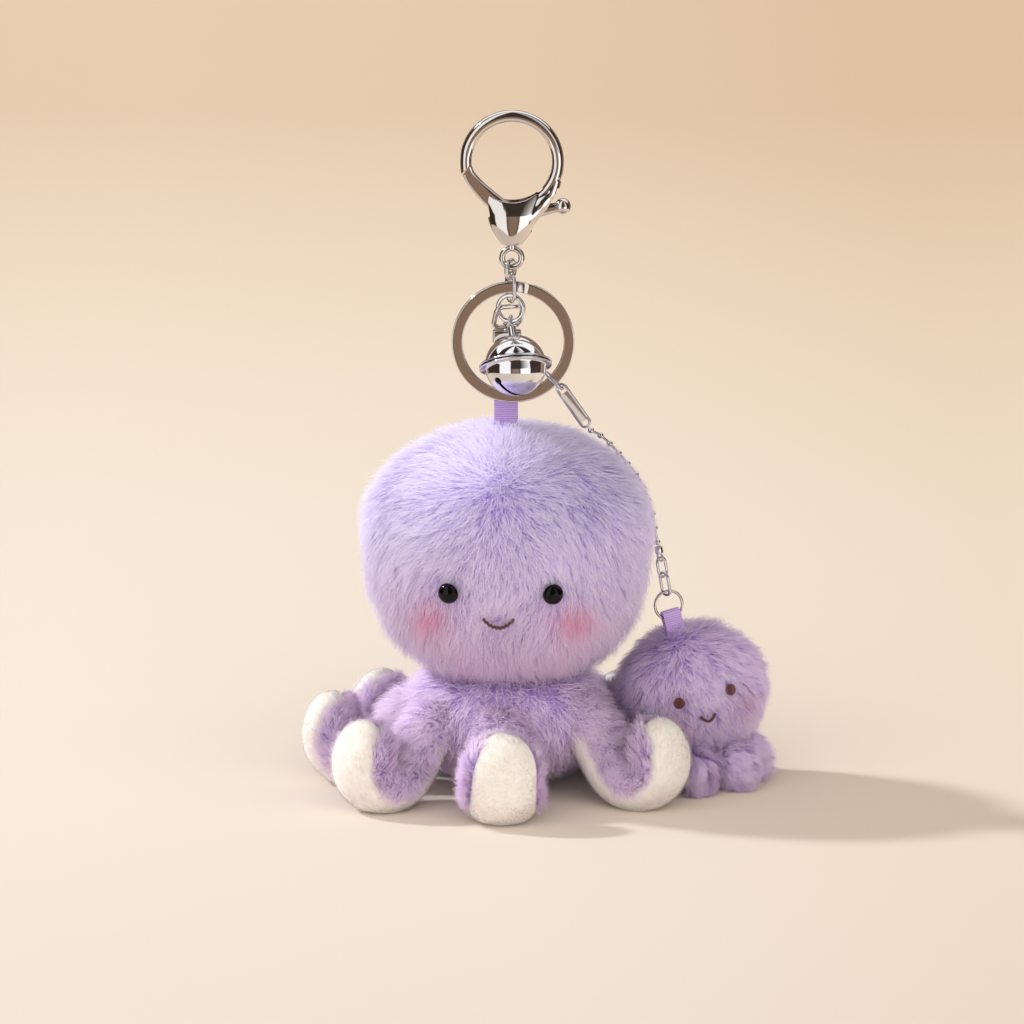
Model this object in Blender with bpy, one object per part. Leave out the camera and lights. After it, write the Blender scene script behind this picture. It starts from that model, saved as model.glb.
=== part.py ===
# Plush octopus key chain: a stuffed octopus with a strap, bell, key ring, clasp
# and a ball chain that carries a baby octopus. Metres, +Z up, the front faces -Y.
import math

import bmesh
import bpy
from mathutils import Matrix, Vector

MM = 0.001

# Placing: the plush stands at this point, so that the whole part's box is centred on the origin
PLUSH_X = -6.4 * MM
PLUSH_Y = 1.5 * MM
GAP = 0.3 * MM
OVERRUN = 2.0 * MM

# Head of the plush
HEAD_WIDTH = 68.6 * MM
HEAD_DEPTH = 66.4 * MM
HEAD_BOTTOM_Z = 29.5 * MM
HEAD_WIDEST_Z = 66.5 * MM
HEAD_TOP_Z = 91.2 * MM
HEAD_LOWER_POWER = 2.4
HEAD_SIDES = 28
HEAD_STEPS = 16

# Safety eyes and the stitched mouth
FACE_X = -1.5 * MM
EYE_SPACING = 25.0 * MM
EYE_Z = 56.0 * MM
EYE_DIAMETER = 5.2 * MM
EYE_HEIGHT = 2.2 * MM
EYE_POST_DIAMETER = 1.6 * MM
EYE_POST_LENGTH = 4.6 * MM
EYE_BASE_LIFT = 0.2 * MM
WASHER_DIAMETER = 6.0 * MM
WASHER_THICKNESS = 0.8 * MM
WASHER_DEPTH = 2.4 * MM
MOUTH_WIDTH = 7.3 * MM
MOUTH_X = -2.0 * MM
MOUTH_Z = 49.4 * MM
MOUTH_DROP = 2.1 * MM
MOUTH_THREAD = 1.0 * MM

# Hub that joins the head to the tentacles
HUB_WIDTH = 49.0 * MM
HUB_DEPTH = 47.0 * MM
HUB_BOTTOM_Z = 3.5 * MM
HUB_TOP_Z = 35.0 * MM
HUB_SIDES = 24
HUB_STEPS = 8

# Tentacles: name, direction in degrees, reach and width
TENTACLE_LONG = 50.5 * MM
TENTACLE_MEDIUM = 47.0 * MM
TENTACLE_SHORT = 45.1 * MM
TENTACLE_WIDEST = 19.0 * MM
TENTACLE_WIDE = 16.8 * MM
TENTACLE_NARROW = 15.6 * MM
TENTACLES = [
    ("front", -92, TENTACLE_MEDIUM, TENTACLE_WIDEST),
    ("front_left", -143, TENTACLE_LONG, TENTACLE_WIDE),
    ("left", 172, TENTACLE_LONG, TENTACLE_NARROW),
    ("back_left", 136, TENTACLE_LONG, TENTACLE_NARROW),
    ("back", 106, TENTACLE_SHORT, TENTACLE_NARROW),
    ("back_right", 75, TENTACLE_SHORT, TENTACLE_NARROW),
    ("right", 44, TENTACLE_SHORT, TENTACLE_NARROW),
    ("front_right", -32, TENTACLE_LONG, TENTACLE_WIDE),
]
TENTACLE_THICKNESS = 13.0 * MM
TENTACLE_TIP_Z = 23.0 * MM
TENTACLE_ROOT_Z = 20.0 * MM
TENTACLE_ROOT_R = 15.0 * MM
TENTACLE_FLAT = 0.5 * MM
TENTACLE_STEPS = 12
# How far out each point lies, and its height as shares of the root's, the floor's and the tip's heights
TENTACLE_PATH_SHARES = (
    (0.30, 0.86, 0.0, 0.0),
    (0.60, 0.0, 1.25, 0.0),
    (0.84, 0.0, 1.0, 0.0),
    (1.00, 0.0, 0.0, 0.44),
    (1.08, 0.0, 0.0, 0.74),
    (1.62, 0.0, -0.38, 1.0),
)
TENTACLE_SEAM_SHARE = 0.25
TENTACLE_TAPER_SHARE = 0.8
TENTACLE_TIP_SHARE = 0.235
TENTACLE_SWELL_SHARE = 0.7
TENTACLE_ROOT_WIDTH_SHARE = 0.5
TENTACLE_ROOT_THICKNESS_SHARE = 0.86
TENTACLE_TIP_THICKNESS_SHARE = 0.35
SOLE_WIDTH_SHARE = 0.97
TENTACLE_ARC_POINTS = 8

# Clasp: a zinc lobster clasp with a sprung gate
CLASP_X = 1.2 * MM
CLASP_RING_Z = 157.1 * MM
CLASP_RING_R = 11.15 * MM
CLASP_WIRE = 3.1 * MM
CLASP_BULB_TOP_Z = 149.6 * MM
CLASP_BULB_WIDE_Z = 144.2 * MM
CLASP_BULB_BOTTOM_Z = 136.6 * MM
CLASP_BULB_WIDTH = 11.4 * MM
CLASP_BULB_TIP_WIDTH = 5.0 * MM
CLASP_BULB_THICKNESS = 6.4 * MM
BULB_SWELL_POWER = 1.3
BULB_FLARE_SHARE = 0.35
BULB_THIN_SHARE = 0.62
BULB_LEAN_SHARE = 0.04
BULB_OPENING_SHARE = 0.42
CLASP_SPLIT_ANGLE = 189
CLASP_ARM_END_ANGLE = -66
SPLIT_SLANT_SHARE = 0.8
GATE_THICKNESS = 2.0 * MM
GATE_PIVOT_Z = 143.6 * MM
GATE_ROOT_WIDTH = 5.6 * MM
GATE_TIP_WIDTH = 2.6 * MM
GATE_SPLIT_ANGLE = 2.2
GATE_BOW_ANGLE = 214
GATE_BOW_SHARE = 1.02
GATE_ROOT_SHARE = 0.8
GATE_TAPER_SHARE = 0.55
GATE_NECK_THICKNESS_SHARE = 0.46
GATE_NECK_SHARES = ((0.0, 0.36), (0.45, 0.23), (0.75, 0.16), (1.0, 0.16))
KNOB_X = 12.4 * MM
KNOB_RISE = 3.2 * MM
KNOB_DIAMETER = 4.0 * MM
PIN_DIAMETER = 1.4 * MM
PIN_LENGTH = 6.0 * MM
LEAF_THICKNESS = 0.3 * MM
LEAF_WIDTH = 1.5 * MM
LEAF_LENGTH = 4.4 * MM

# Swivel eye under the clasp
EYE_RING_Z = 133.2 * MM
EYE_RING_DIAMETER = 6.2 * MM
EYE_RING_WIRE = 1.5 * MM
STEM_DIAMETER = 1.7 * MM
STEM_HEAD_DIAMETER = 3.0 * MM
STEM_HEAD_LENGTH = 1.2 * MM
STEM_HEAD_RISE = 1.6 * MM

# Links between the clasp, the key ring and the bell ring
LINK_X = 0.9 * MM
CLASP_LINK_BOTTOM_Z = 127.6 * MM
CLASP_LINK_HEIGHT = 5.5 * MM
CLASP_LINK_WIDTH = 5.2 * MM
CLASP_LINK_WIRE = 1.1 * MM
CLASP_LINK_YAW = 62
RING_LINK_BOTTOM_Z = 121.9 * MM
RING_LINK_HEIGHT = 8.0 * MM
RING_LINK_WIDTH = 5.6 * MM
RING_LINK_WIRE = 0.9 * MM
RING_LINK_YAW = -66

# Split key ring of flat wire in two turns
KEY_RING_X = 1.5 * MM
KEY_RING_Z = 112.3 * MM
KEY_RING_DIAMETER = 30.0 * MM
KEY_RING_BAND = 2.6 * MM
KEY_RING_LAYER = 0.78 * MM
KEY_RING_LAYER_GAP = 0.42 * MM
KEY_RING_JOG_ANGLE = 80
KEY_RING_JOG_HALF = 7
KEY_RING_END_GAP = 10

# Bell ring and the two-shell bell with its pellet
BELL_RING_Z = 120.65 * MM
BELL_RING_DIAMETER = 7.5 * MM
BELL_RING_WIRE = 1.1 * MM
BELL_RING_YAW = -15
BELL_X = 2.1 * MM
BELL_Y = -5.1 * MM
BELL_Z = 107.4 * MM
BELL_DIAMETER = 15.0 * MM
BELL_RIM_DIAMETER = 17.8 * MM
BELL_WALL = 0.6 * MM
BELL_FLANGE = 0.45 * MM
BELL_TIP_ANGLE = 27
BELL_ROLL_ANGLE = -5
BELL_EYE_Z = 117.3 * MM
BELL_EYE_HOLE = 1.8 * MM
BELL_EYE_WALL = 0.8 * MM
BELL_POST_DIAMETER = 2.0 * MM
BELL_SLOT_WIDTH = 0.9 * MM
BELL_SLOT_HOLE = 2.0 * MM
BELL_SLOT_RISE_SHARE = 0.62
BELL_SLOT_DEPTH_SHARE = 1.3
BELL_SLOT_YAW = 40
PELLET_DIAMETER = 3.6 * MM

# Strap hardware: a flat D ring and the crimp that closes on the ribbon
D_RING_X = 0.3 * MM
D_RING_BOTTOM_Z = 114.7 * MM
D_RING_Y = 1.7 * MM
D_RING_WIDTH = 8.2 * MM
D_RING_HEIGHT = 7.2 * MM
D_RING_WIRE = 1.2 * MM
D_RING_CORNER = 1.5 * MM
D_RING_YAW = 24
D_RING_PITCH = 26
CRIMP_LOOP_WIRE = 0.7 * MM
CRIMP_X = 0.0 * MM
CRIMP_Y = 3.2 * MM
CRIMP_WIDTH = 7.0 * MM
CRIMP_DEPTH = 3.2 * MM
CRIMP_RISE = 0.1 * MM
CRIMP_HEIGHT = 3.1 * MM
CRIMP_TOP_Z = D_RING_BOTTOM_Z - CRIMP_RISE
CRIMP_BOTTOM_Z = CRIMP_TOP_Z - CRIMP_HEIGHT
CRIMP_EDGE = 0.5 * MM

# Grosgrain ribbon sewn into the crown
RIBBON_WIDTH = 5.9 * MM
RIBBON_THICKNESS = 1.0 * MM
RIBBON_X = -0.25 * MM
RIBBON_SETBACK = 1.1 * MM
RIBBON_TOP_Z = CRIMP_TOP_Z - RIBBON_SETBACK
RIBBON_BOW_Y = 6.0 * MM
RIBBON_BOW_Z = 102.5 * MM
RIBBON_FOOT_Y = 5.0 * MM

# Ball chain with its connector, links and rings
JUMP_ANGLE = -44
JUMP_HEIGHT = 6.4 * MM
JUMP_WIDTH = 4.8 * MM
JUMP_WIRE = 0.8 * MM
JUMP_DROP = 0.3 * MM
HOOK_DROP = 1.95 * MM
HOOK_WIDTH = 3.0 * MM
HOOK_WIRE = 0.7 * MM
HOOK_PLATE_WIDTH = 1.5 * MM
BEAD_DIAMETER = 1.5 * MM
ROD_DIAMETER = 0.6 * MM
BEAD_PITCH = 3.2 * MM
CHAIN_SIDES = 6
CHAIN_ROUTE = [
    Vector((20.6, 1.0, 90.0)) * MM,
    Vector((23.4, 3.4, 87.9)) * MM,
    Vector((26.4, 5.2, 84.6)) * MM,
    Vector((29.3, 6.2, 81.0)) * MM,
    Vector((32.0, 6.8, 77.2)) * MM,
    Vector((34.3, 7.0, 72.6)) * MM,
    Vector((35.8, 7.0, 68.0)) * MM,
    Vector((36.5, 7.0, 63.8)) * MM,
    Vector((37.1, 7.0, 60.6)) * MM,
]
CUP_DIAMETER = 2.0 * MM
CUP_LENGTH = 1.9 * MM
CUP_LOOP_HOLE = 1.5 * MM
CUP_LOOP_WALL = 0.5 * MM
LONG_LINK_HEIGHT = 5.6 * MM
LONG_LINK_WIDTH = 3.2 * MM
SHORT_LINK_HEIGHT = 6.4 * MM
SHORT_LINK_WIDTH = 3.1 * MM
LINK_WIRE = 0.7 * MM
LONG_LINK_YAW = 38
SHORT_LINK_YAW = -38
CHAIN_SLANT = 10

# Baby octopus
BABY_X = 45.7 * MM
BABY_Y = 7.5 * MM
BABY_Z = 23.4 * MM
BABY_WIDTH = 35.0 * MM
BABY_DEPTH = 32.0 * MM
BABY_HEIGHT = 31.4 * MM
BABY_ROLL = -13
BABY_SIDES = 22
BABY_STEPS = 12
BABY_RING_DIAMETER = 7.8 * MM
BABY_RING_WIRE = 0.7 * MM
BABY_RING_YAW = 18
BABY_RIBBON_WIDTH = 4.6 * MM
BABY_RIBBON_THICKNESS = 0.7 * MM
BABY_RIBBON_RISE = 1.15 * MM
BABY_RIBBON_LENGTH = 7.0 * MM
BABY_EYE_DIAMETER = 2.7 * MM
BABY_EYE_DEPTH = 0.8 * MM
BABY_EYE_SPACING_SHARE = 0.36
BABY_FACE_SHIFT_SHARE = 0.18
BABY_EYE_RISE_SHARE = -0.03
BABY_MOUTH_RISE_SHARE = -0.33
BABY_MOUTH_WIDTH = 3.8 * MM
BABY_MOUTH_DROP = 1.6 * MM
BABY_MOUTH_THREAD = 0.8 * MM
BABY_ARM_REACH = 17.6 * MM
BABY_ARM_ROOT = 7.6 * MM
BABY_ARM_ROOT_Z = 7.8 * MM
BABY_ARM_TIP_Z = 5.8 * MM
BABY_ARM_WIDTH = 8.6 * MM
BABY_ARM_THICKNESS = 14.6 * MM
BABY_ARM_COUNT = 8
BABY_ARM_TURN = 5
BABY_ARM_STEPS = 7
BABY_ARM_SIDES = 10

COLOURS = {
    "plush_fur": ((0.55, 0.42, 0.76), 0.9, 0.0),
    "cream_velour": ((0.90, 0.82, 0.70), 0.9, 0.0),
    "baby_fur": ((0.50, 0.38, 0.70), 0.9, 0.0),
    "ribbon": ((0.47, 0.29, 0.68), 0.7, 0.0),
    "nickel_plate": ((0.74, 0.72, 0.70), 0.16, 1.0),
    "chrome_plate": ((0.86, 0.86, 0.87), 0.08, 1.0),
    "spring_steel": ((0.62, 0.60, 0.58), 0.3, 1.0),
    "black_eye": ((0.01, 0.01, 0.01), 0.08, 0.0),
    "washer_plastic": ((0.80, 0.80, 0.78), 0.5, 0.0),
    "brown_thread": ((0.13, 0.03, 0.02), 0.7, 0.0),
}


def clear_scene():
    for item in list(bpy.data.objects):
        bpy.data.objects.remove(item, do_unlink=True)


def material(name):
    """One Principled material a finish, shared by the pieces that have it."""
    found = bpy.data.materials.get(name)
    if found:
        return found
    colour, roughness, metallic = COLOURS[name]
    made = bpy.data.materials.new(name)
    made.use_nodes = True
    shader = made.node_tree.nodes["Principled BSDF"]
    shader.inputs["Base Color"].default_value = (*colour, 1.0)
    shader.inputs["Roughness"].default_value = roughness
    shader.inputs["Metallic"].default_value = metallic
    return made


def at_plush(x, y, z):
    """A point given from the middle of the plush."""
    return Vector((PLUSH_X + x, PLUSH_Y + y, z))


def add_object(name, finish, points, faces, pivot=None):
    """A closed mesh in world places, with its origin at the pivot."""
    pivot = pivot or Vector((0, 0, 0))
    mesh = bpy.data.meshes.new(name)
    mesh.from_pydata([tuple(Vector(p) - pivot) for p in points], [], faces)
    shape = bmesh.new()
    shape.from_mesh(mesh)
    bmesh.ops.recalc_face_normals(shape, faces=shape.faces)
    shape.to_mesh(mesh)
    shape.free()
    mesh.shade_smooth()
    mesh.set_sharp_from_angle(angle=math.radians(42))
    mesh.materials.append(material(finish))
    item = bpy.data.objects.new(name, mesh)
    item.location = pivot
    bpy.context.scene.collection.objects.link(item)
    return item


def loft(name, finish, rings, closed=False, pivot=None):
    """Joins rings of equal count, with flat caps unless the path closes on itself."""
    count = len(rings[0])
    points = [p for ring in rings for p in ring]
    spans = len(rings) if closed else len(rings) - 1
    faces = []
    for i in range(spans):
        a, b = i * count, ((i + 1) % len(rings)) * count
        for j in range(count):
            k = (j + 1) % count
            faces.append((a + j, a + k, b + k, b + j))
    if not closed:
        faces.append(tuple(range(count)))
        faces.append(tuple(range(len(points) - count, len(points))))
    return add_object(name, finish, points, faces, pivot)


def round_body(name, finish, rings, low, high, pivot=None):
    """Rings with a point at each end, as on a ball."""
    count = len(rings[0])
    points = [low] + [p for ring in rings for p in ring] + [high]
    faces = []
    for j in range(count):
        k = (j + 1) % count
        faces.append((0, 1 + k, 1 + j))
        for i in range(len(rings) - 1):
            a, b = 1 + i * count, 1 + (i + 1) * count
            faces.append((a + j, a + k, b + k, b + j))
        last = 1 + (len(rings) - 1) * count
        faces.append((last + j, last + k, len(points) - 1))
    return add_object(name, finish, points, faces, pivot)


def as_cutter(item):
    item.hide_render = True
    item.display_type = "WIRE"
    return item


def combine(item, other, operation):
    """Cuts or joins with an exact Boolean; the other shape stays as a guide."""
    as_cutter(other)
    step = item.modifiers.new(operation.lower(), "BOOLEAN")
    step.operation = operation
    step.solver = "EXACT"
    step.object = other
    return item


def circle(centre, side, up, half_side, half_up, count, start=0.0):
    return [
        centre
        + side * (half_side * math.cos(start + math.tau * k / count))
        + up * (half_up * math.sin(start + math.tau * k / count))
        for k in range(count)
    ]


def level_ring(centre, half_x, half_y, count):
    return circle(centre, Vector((1, 0, 0)), Vector((0, 1, 0)), half_x, half_y, count)


def rod(name, finish, low, high, radius, count=16, pivot=None):
    """A straight round bar between two points."""
    along = (high - low).normalized()
    side = along.orthogonal().normalized()
    up = along.cross(side)
    rings = [circle(p, side, up, radius, radius, count) for p in (low, high)]
    return loft(name, finish, rings, pivot=pivot)


def ball(name, finish, centre, radius, count=14, steps=9, pivot=None):
    axis_z = Vector((0, 0, 1))
    rings = []
    for i in range(1, steps):
        angle = math.pi * i / steps - math.pi / 2
        middle = centre + axis_z * (radius * math.sin(angle))
        reach = radius * math.cos(angle)
        rings.append(level_ring(middle, reach, reach, count))
    return round_body(name, finish, rings, centre - axis_z * radius, centre + axis_z * radius, pivot)


def box(name, finish, low, high, pivot=None):
    (x0, y0, z0), (x1, y1, z1) = low, high
    points = [(x, y, z) for z in (z0, z1) for x, y in ((x0, y0), (x1, y0), (x1, y1), (x0, y1))]
    faces = [(3, 2, 1, 0), (4, 5, 6, 7), (0, 1, 5, 4), (1, 2, 6, 5), (2, 3, 7, 6), (3, 0, 4, 7)]
    return add_object(name, finish, [Vector(p) for p in points], faces, pivot)


def turned(roll, yaw, pitch=0, slant=0):
    """Roll in the piece's plane, pitch to the back, yaw, then slant in the front plane."""
    roll_turn = Matrix.Rotation(math.radians(roll), 3, "Y")
    pitch_turn = Matrix.Rotation(math.radians(pitch), 3, "X")
    slant_turn = Matrix.Rotation(math.radians(slant), 3, "Y")
    return slant_turn @ Matrix.Rotation(math.radians(yaw), 3, "Z") @ pitch_turn @ roll_turn


def racetrack(width, height, corner, arc_points):
    """The middle line of a link with round corners, in the XZ plane, with its outward directions."""
    track = []
    steps = arc_points // 2
    for quarter in range(4):
        for k in range(steps + 1):
            angle = math.pi / 2 * (quarter + k / steps)
            diagonal = math.pi / 4 + quarter * math.pi / 2
            x = math.copysign(width / 2 - corner, math.cos(diagonal))
            z = math.copysign(height / 2 - corner, math.sin(diagonal))
            middle = Vector((x, 0, z))
            out = Vector((math.cos(angle), 0, math.sin(angle)))
            place = middle + out * corner
            if not track or (track[-1][0] - place).length > corner * 0.01:
                track.append((place, out))
    if (track[-1][0] - track[0][0]).length < corner * 0.01:
        track.pop()
    return track


def link(name, finish, centre, width, height, wire, yaw=0, roll=0, pitch=0, slant=0,
         sides=7, arc_points=8, corner=None, pivot=None):
    """A round-wire link or ring, given by its outer width and height."""
    turn = turned(roll, yaw, pitch, slant)
    rings = []
    corner = corner or (min(width, height) - wire) / 2
    front = turn @ Vector((0, 1, 0))
    for place, out in racetrack(width - wire, height - wire, corner, arc_points):
        rings.append(circle(centre + turn @ place, turn @ out, front, wire / 2, wire / 2, sides))
    return loft(name, finish, rings, closed=True, pivot=pivot)


def head_rings(grow):
    """The head's ball: wide above, drawn in toward the neck."""
    rings = []
    half_width, half_depth = HEAD_WIDTH / 2 + grow, HEAD_DEPTH / 2 + grow
    low, high = HEAD_BOTTOM_Z - grow, HEAD_TOP_Z + grow
    for i in range(1, HEAD_STEPS):
        angle = math.pi * i / HEAD_STEPS - math.pi / 2
        rise = math.sin(angle)
        if rise < 0:
            reach = (1 - abs(rise) ** HEAD_LOWER_POWER) ** (1 / HEAD_LOWER_POWER)
            z = HEAD_WIDEST_Z + rise * (HEAD_WIDEST_Z - low)
        else:
            reach = math.cos(angle)
            z = HEAD_WIDEST_Z + rise * (high - HEAD_WIDEST_Z)
        middle = at_plush(0, 0, z)
        rings.append(level_ring(middle, half_width * reach, half_depth * reach, HEAD_SIDES))
    return rings, at_plush(0, 0, low), at_plush(0, 0, high)


def hub_rings(grow):
    rings = []
    low, high = HUB_BOTTOM_Z - grow, HUB_TOP_Z + grow
    middle_z = (low + high) / 2
    for i in range(1, HUB_STEPS):
        angle = math.pi * i / HUB_STEPS - math.pi / 2
        z = middle_z + (high - low) / 2 * math.sin(angle)
        reach = math.cos(angle)
        half_width, half_depth = HUB_WIDTH / 2 + grow, HUB_DEPTH / 2 + grow
        rings.append(level_ring(at_plush(0, 0, z), half_width * reach, half_depth * reach, HUB_SIDES))
    return rings, at_plush(0, 0, low), at_plush(0, 0, high)


def face_depth(x, z):
    """How far forward the front of the head is at a place on the face."""
    rise = (z - HEAD_WIDEST_Z) / (HEAD_WIDEST_Z - HEAD_BOTTOM_Z)
    reach = (1 - abs(rise) ** HEAD_LOWER_POWER) ** (1 / HEAD_LOWER_POWER)
    return HEAD_DEPTH / 2 * math.sqrt(reach * reach - (x / (HEAD_WIDTH / 2)) ** 2)


def face_normal(x, z):
    step = HEAD_DEPTH / 200
    across = (face_depth(x + step, z) - face_depth(x - step, z)) / (2 * step)
    upward = (face_depth(x, z + step) - face_depth(x, z - step)) / (2 * step)
    return Vector((-across, -1.0, -upward)).normalized()


def make_clasp():
    """Clasp body with its slot, the gate lever, its pin and leaf, and the swivel eye."""
    centre = at_plush(CLASP_X, 0, CLASP_RING_Z)
    front = Vector((0, 1, 0))
    pivot = at_plush(CLASP_X, 0, GATE_PIVOT_Z)
    stem_axis = at_plush(CLASP_X, 0, EYE_RING_Z)
    rings = []
    steps = 22
    for i in range(steps + 1):
        angle = math.radians(CLASP_SPLIT_ANGLE + (CLASP_ARM_END_ANGLE - CLASP_SPLIT_ANGLE) * i / steps)
        out = Vector((math.cos(angle), 0, math.sin(angle)))
        rings.append(circle(centre + out * CLASP_RING_R, out, front, CLASP_WIRE / 2, CLASP_WIRE / 2, 10))
    out, up = split_directions()
    rings[0] = skewed(rings[0], centre + out * CLASP_RING_R, out, up)
    body = loft("clasp_body", "nickel_plate", rings, pivot=stem_axis)
    levels = 9
    rings = []
    for i in range(levels + 1):
        z = CLASP_BULB_BOTTOM_Z + (CLASP_BULB_TOP_Z - CLASP_BULB_BOTTOM_Z) * i / levels
        rise = (z - CLASP_BULB_BOTTOM_Z) / (CLASP_BULB_WIDE_Z - CLASP_BULB_BOTTOM_Z)
        swell = math.sin(min(rise, 1.0) * math.pi / 2) ** BULB_SWELL_POWER
        half = (CLASP_BULB_TIP_WIDTH + (CLASP_BULB_WIDTH - CLASP_BULB_TIP_WIDTH) * swell) / 2
        if rise > 1:
            half += (z - CLASP_BULB_WIDE_Z) * BULB_FLARE_SHARE
        thick = CLASP_BULB_TIP_WIDTH + (CLASP_BULB_THICKNESS - CLASP_BULB_TIP_WIDTH) * swell
        if rise > 1:
            thick -= (z - CLASP_BULB_WIDE_Z) * BULB_THIN_SHARE
        middle = at_plush(CLASP_X + (z - CLASP_BULB_BOTTOM_Z) * BULB_LEAN_SHARE, 0, z)
        rings.append(level_ring(middle, half, thick / 2, 14))
    bulb = loft("bulb_guide", "nickel_plate", rings)
    combine(body, bulb, "UNION")
    opening = rod(
        "bulb_hollow_cutter", "nickel_plate",
        centre - front * CLASP_BULB_WIDTH, centre + front * CLASP_BULB_WIDTH,
        CLASP_RING_R - CLASP_WIRE * BULB_OPENING_SHARE, 40,
    )
    combine(body, opening, "DIFFERENCE")
    slot_half = GATE_THICKNESS / 2 + GAP
    slot_low = GATE_PIVOT_Z - GATE_ROOT_WIDTH / 2 - 2 * GAP - LEAF_THICKNESS
    slot = box(
        "gate_slot_cutter", "nickel_plate",
        at_plush(-CLASP_RING_R, -slot_half, slot_low),
        at_plush(KNOB_X, slot_half, CLASP_BULB_TOP_Z + OVERRUN / 2),
    )
    combine(body, slot, "DIFFERENCE")
    pin_bore = rod(
        "pin_bore_cutter", "nickel_plate", pivot - front * PIN_LENGTH, pivot + front * PIN_LENGTH,
        PIN_DIAMETER / 2 + GAP,
    )
    combine(body, pin_bore, "DIFFERENCE")
    bore_low = at_plush(CLASP_X, 0, CLASP_BULB_BOTTOM_Z - OVERRUN)
    head_low = at_plush(CLASP_X, 0, CLASP_BULB_BOTTOM_Z + STEM_HEAD_RISE)
    head_high = head_low + Vector((0, 0, STEM_HEAD_LENGTH))
    narrow = rod("stem_bore_cutter", "nickel_plate", bore_low, head_high, STEM_DIAMETER / 2 + GAP)
    combine(body, narrow, "DIFFERENCE")
    rise = Vector((0, 0, GAP))
    wide = rod("stem_head_cutter", "nickel_plate", head_low - rise, head_high + rise * 3,
               STEM_HEAD_DIAMETER / 2 + GAP)
    combine(body, wide, "DIFFERENCE")

    make_gate(centre, pivot, front)
    rod("gate_pin", "spring_steel", pivot - front * PIN_LENGTH / 2, pivot + front * PIN_LENGTH / 2,
        PIN_DIAMETER / 2, pivot=pivot)
    leaf_z = GATE_PIVOT_Z - GATE_ROOT_WIDTH / 2 - GAP - LEAF_THICKNESS
    box("gate_spring", "spring_steel",
        at_plush(CLASP_X - LEAF_LENGTH / 2, -LEAF_WIDTH / 2, leaf_z),
        at_plush(CLASP_X + LEAF_LENGTH / 2, LEAF_WIDTH / 2, leaf_z + LEAF_THICKNESS), pivot)

    eye = link("swivel_eye", "nickel_plate", stem_axis, EYE_RING_DIAMETER, EYE_RING_DIAMETER, EYE_RING_WIRE,
               sides=8, arc_points=10, pivot=stem_axis)
    ring_top = at_plush(CLASP_X, 0, EYE_RING_Z + (EYE_RING_DIAMETER - EYE_RING_WIRE) / 2)
    stem = rod("stem_guide", "nickel_plate", ring_top, head_low + rise * 0.5, STEM_DIAMETER / 2)
    combine(eye, stem, "UNION")
    stem_head = rod("stem_head_guide", "nickel_plate", head_low, head_high, STEM_HEAD_DIAMETER / 2)
    combine(eye, stem_head, "UNION")


def split_directions():
    """Outward and upward directions where the gate's tip meets the ring."""
    split = math.radians(CLASP_SPLIT_ANGLE)
    return Vector((math.cos(split), 0, math.sin(split))), Vector((math.sin(split), 0, -math.cos(split)))


def skewed(ring, place, out, up):
    """A cut end that leans with the gate's swing, so that the tip slides past it."""
    return [p - up * ((p - place).dot(out) * SPLIT_SLANT_SHARE) for p in ring]


def make_gate(centre, pivot, front):
    """The lever: a flat arm that closes the ring, and a knob on the other side."""
    rings = []
    split = math.radians(CLASP_SPLIT_ANGLE + GATE_SPLIT_ANGLE)
    bow = math.radians(GATE_BOW_ANGLE)
    tip = centre + Vector((math.cos(split), 0, math.sin(split))) * CLASP_RING_R
    bend = centre + Vector((math.cos(bow), 0, math.sin(bow))) * (CLASP_RING_R * GATE_BOW_SHARE)
    steps = 10
    for i in range(steps + 1):
        s = i / steps
        place = tip * (1 - s) ** 2 + bend * (2 * s * (1 - s)) + pivot * s ** 2
        along = ((bend - tip) * (1 - s) + (pivot - bend) * s).normalized()
        side = front.cross(along)
        width = GATE_TIP_WIDTH + (GATE_ROOT_WIDTH * GATE_ROOT_SHARE - GATE_TIP_WIDTH) * s
        thick = GATE_THICKNESS
        if s < GATE_TAPER_SHARE:
            thick += (CLASP_WIRE - GATE_THICKNESS) * GATE_ROOT_SHARE * (1 - s / GATE_TAPER_SHARE)
        rings.append(bar_section(place, side, front, width / 2, thick / 2))
    out, up = split_directions()
    rings[0] = skewed(rings[0], tip, out, up)
    gate = loft("clasp_gate", "nickel_plate", rings, pivot=pivot)
    half_hub = front * (GATE_THICKNESS / 2)
    hub = rod("gate_hub_guide", "nickel_plate", pivot - half_hub, pivot + half_hub, GATE_ROOT_WIDTH / 2, 20)
    combine(gate, hub, "UNION")
    knob = at_plush(CLASP_X + KNOB_X, 0, GATE_PIVOT_Z + KNOB_RISE)
    along = (knob - pivot).normalized()
    side = front.cross(along)
    rings = []
    for s, width_share in GATE_NECK_SHARES:
        half = GATE_ROOT_WIDTH * width_share
        thick = GATE_THICKNESS * GATE_NECK_THICKNESS_SHARE
        rings.append(bar_section(pivot.lerp(knob, s), side, front, half, thick))
    neck = loft("gate_neck_guide", "nickel_plate", rings)
    combine(gate, neck, "UNION")
    knob_ball = ball("gate_knob_guide", "nickel_plate", knob, KNOB_DIAMETER / 2)
    combine(gate, knob_ball, "UNION")
    bore = rod("gate_bore_cutter", "nickel_plate", pivot - front * PIN_LENGTH, pivot + front * PIN_LENGTH,
               PIN_DIAMETER / 2 + GAP)
    combine(gate, bore, "DIFFERENCE")


def bar_section(place, side, up, half_side, half_up, edge_share=0.3):
    """A rectangle with its corners cut."""
    cut = min(half_side, half_up) * edge_share
    corners = []
    for a, b in ((1, 1), (-1, 1), (-1, -1), (1, -1)):
        first = (a * half_side, b * (half_up - cut))
        second = (a * (half_side - cut), b * half_up)
        pair = (first, second) if a * b > 0 else (second, first)
        corners.extend(pair)
    return [place + side * u + up * v for u, v in corners]


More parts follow.
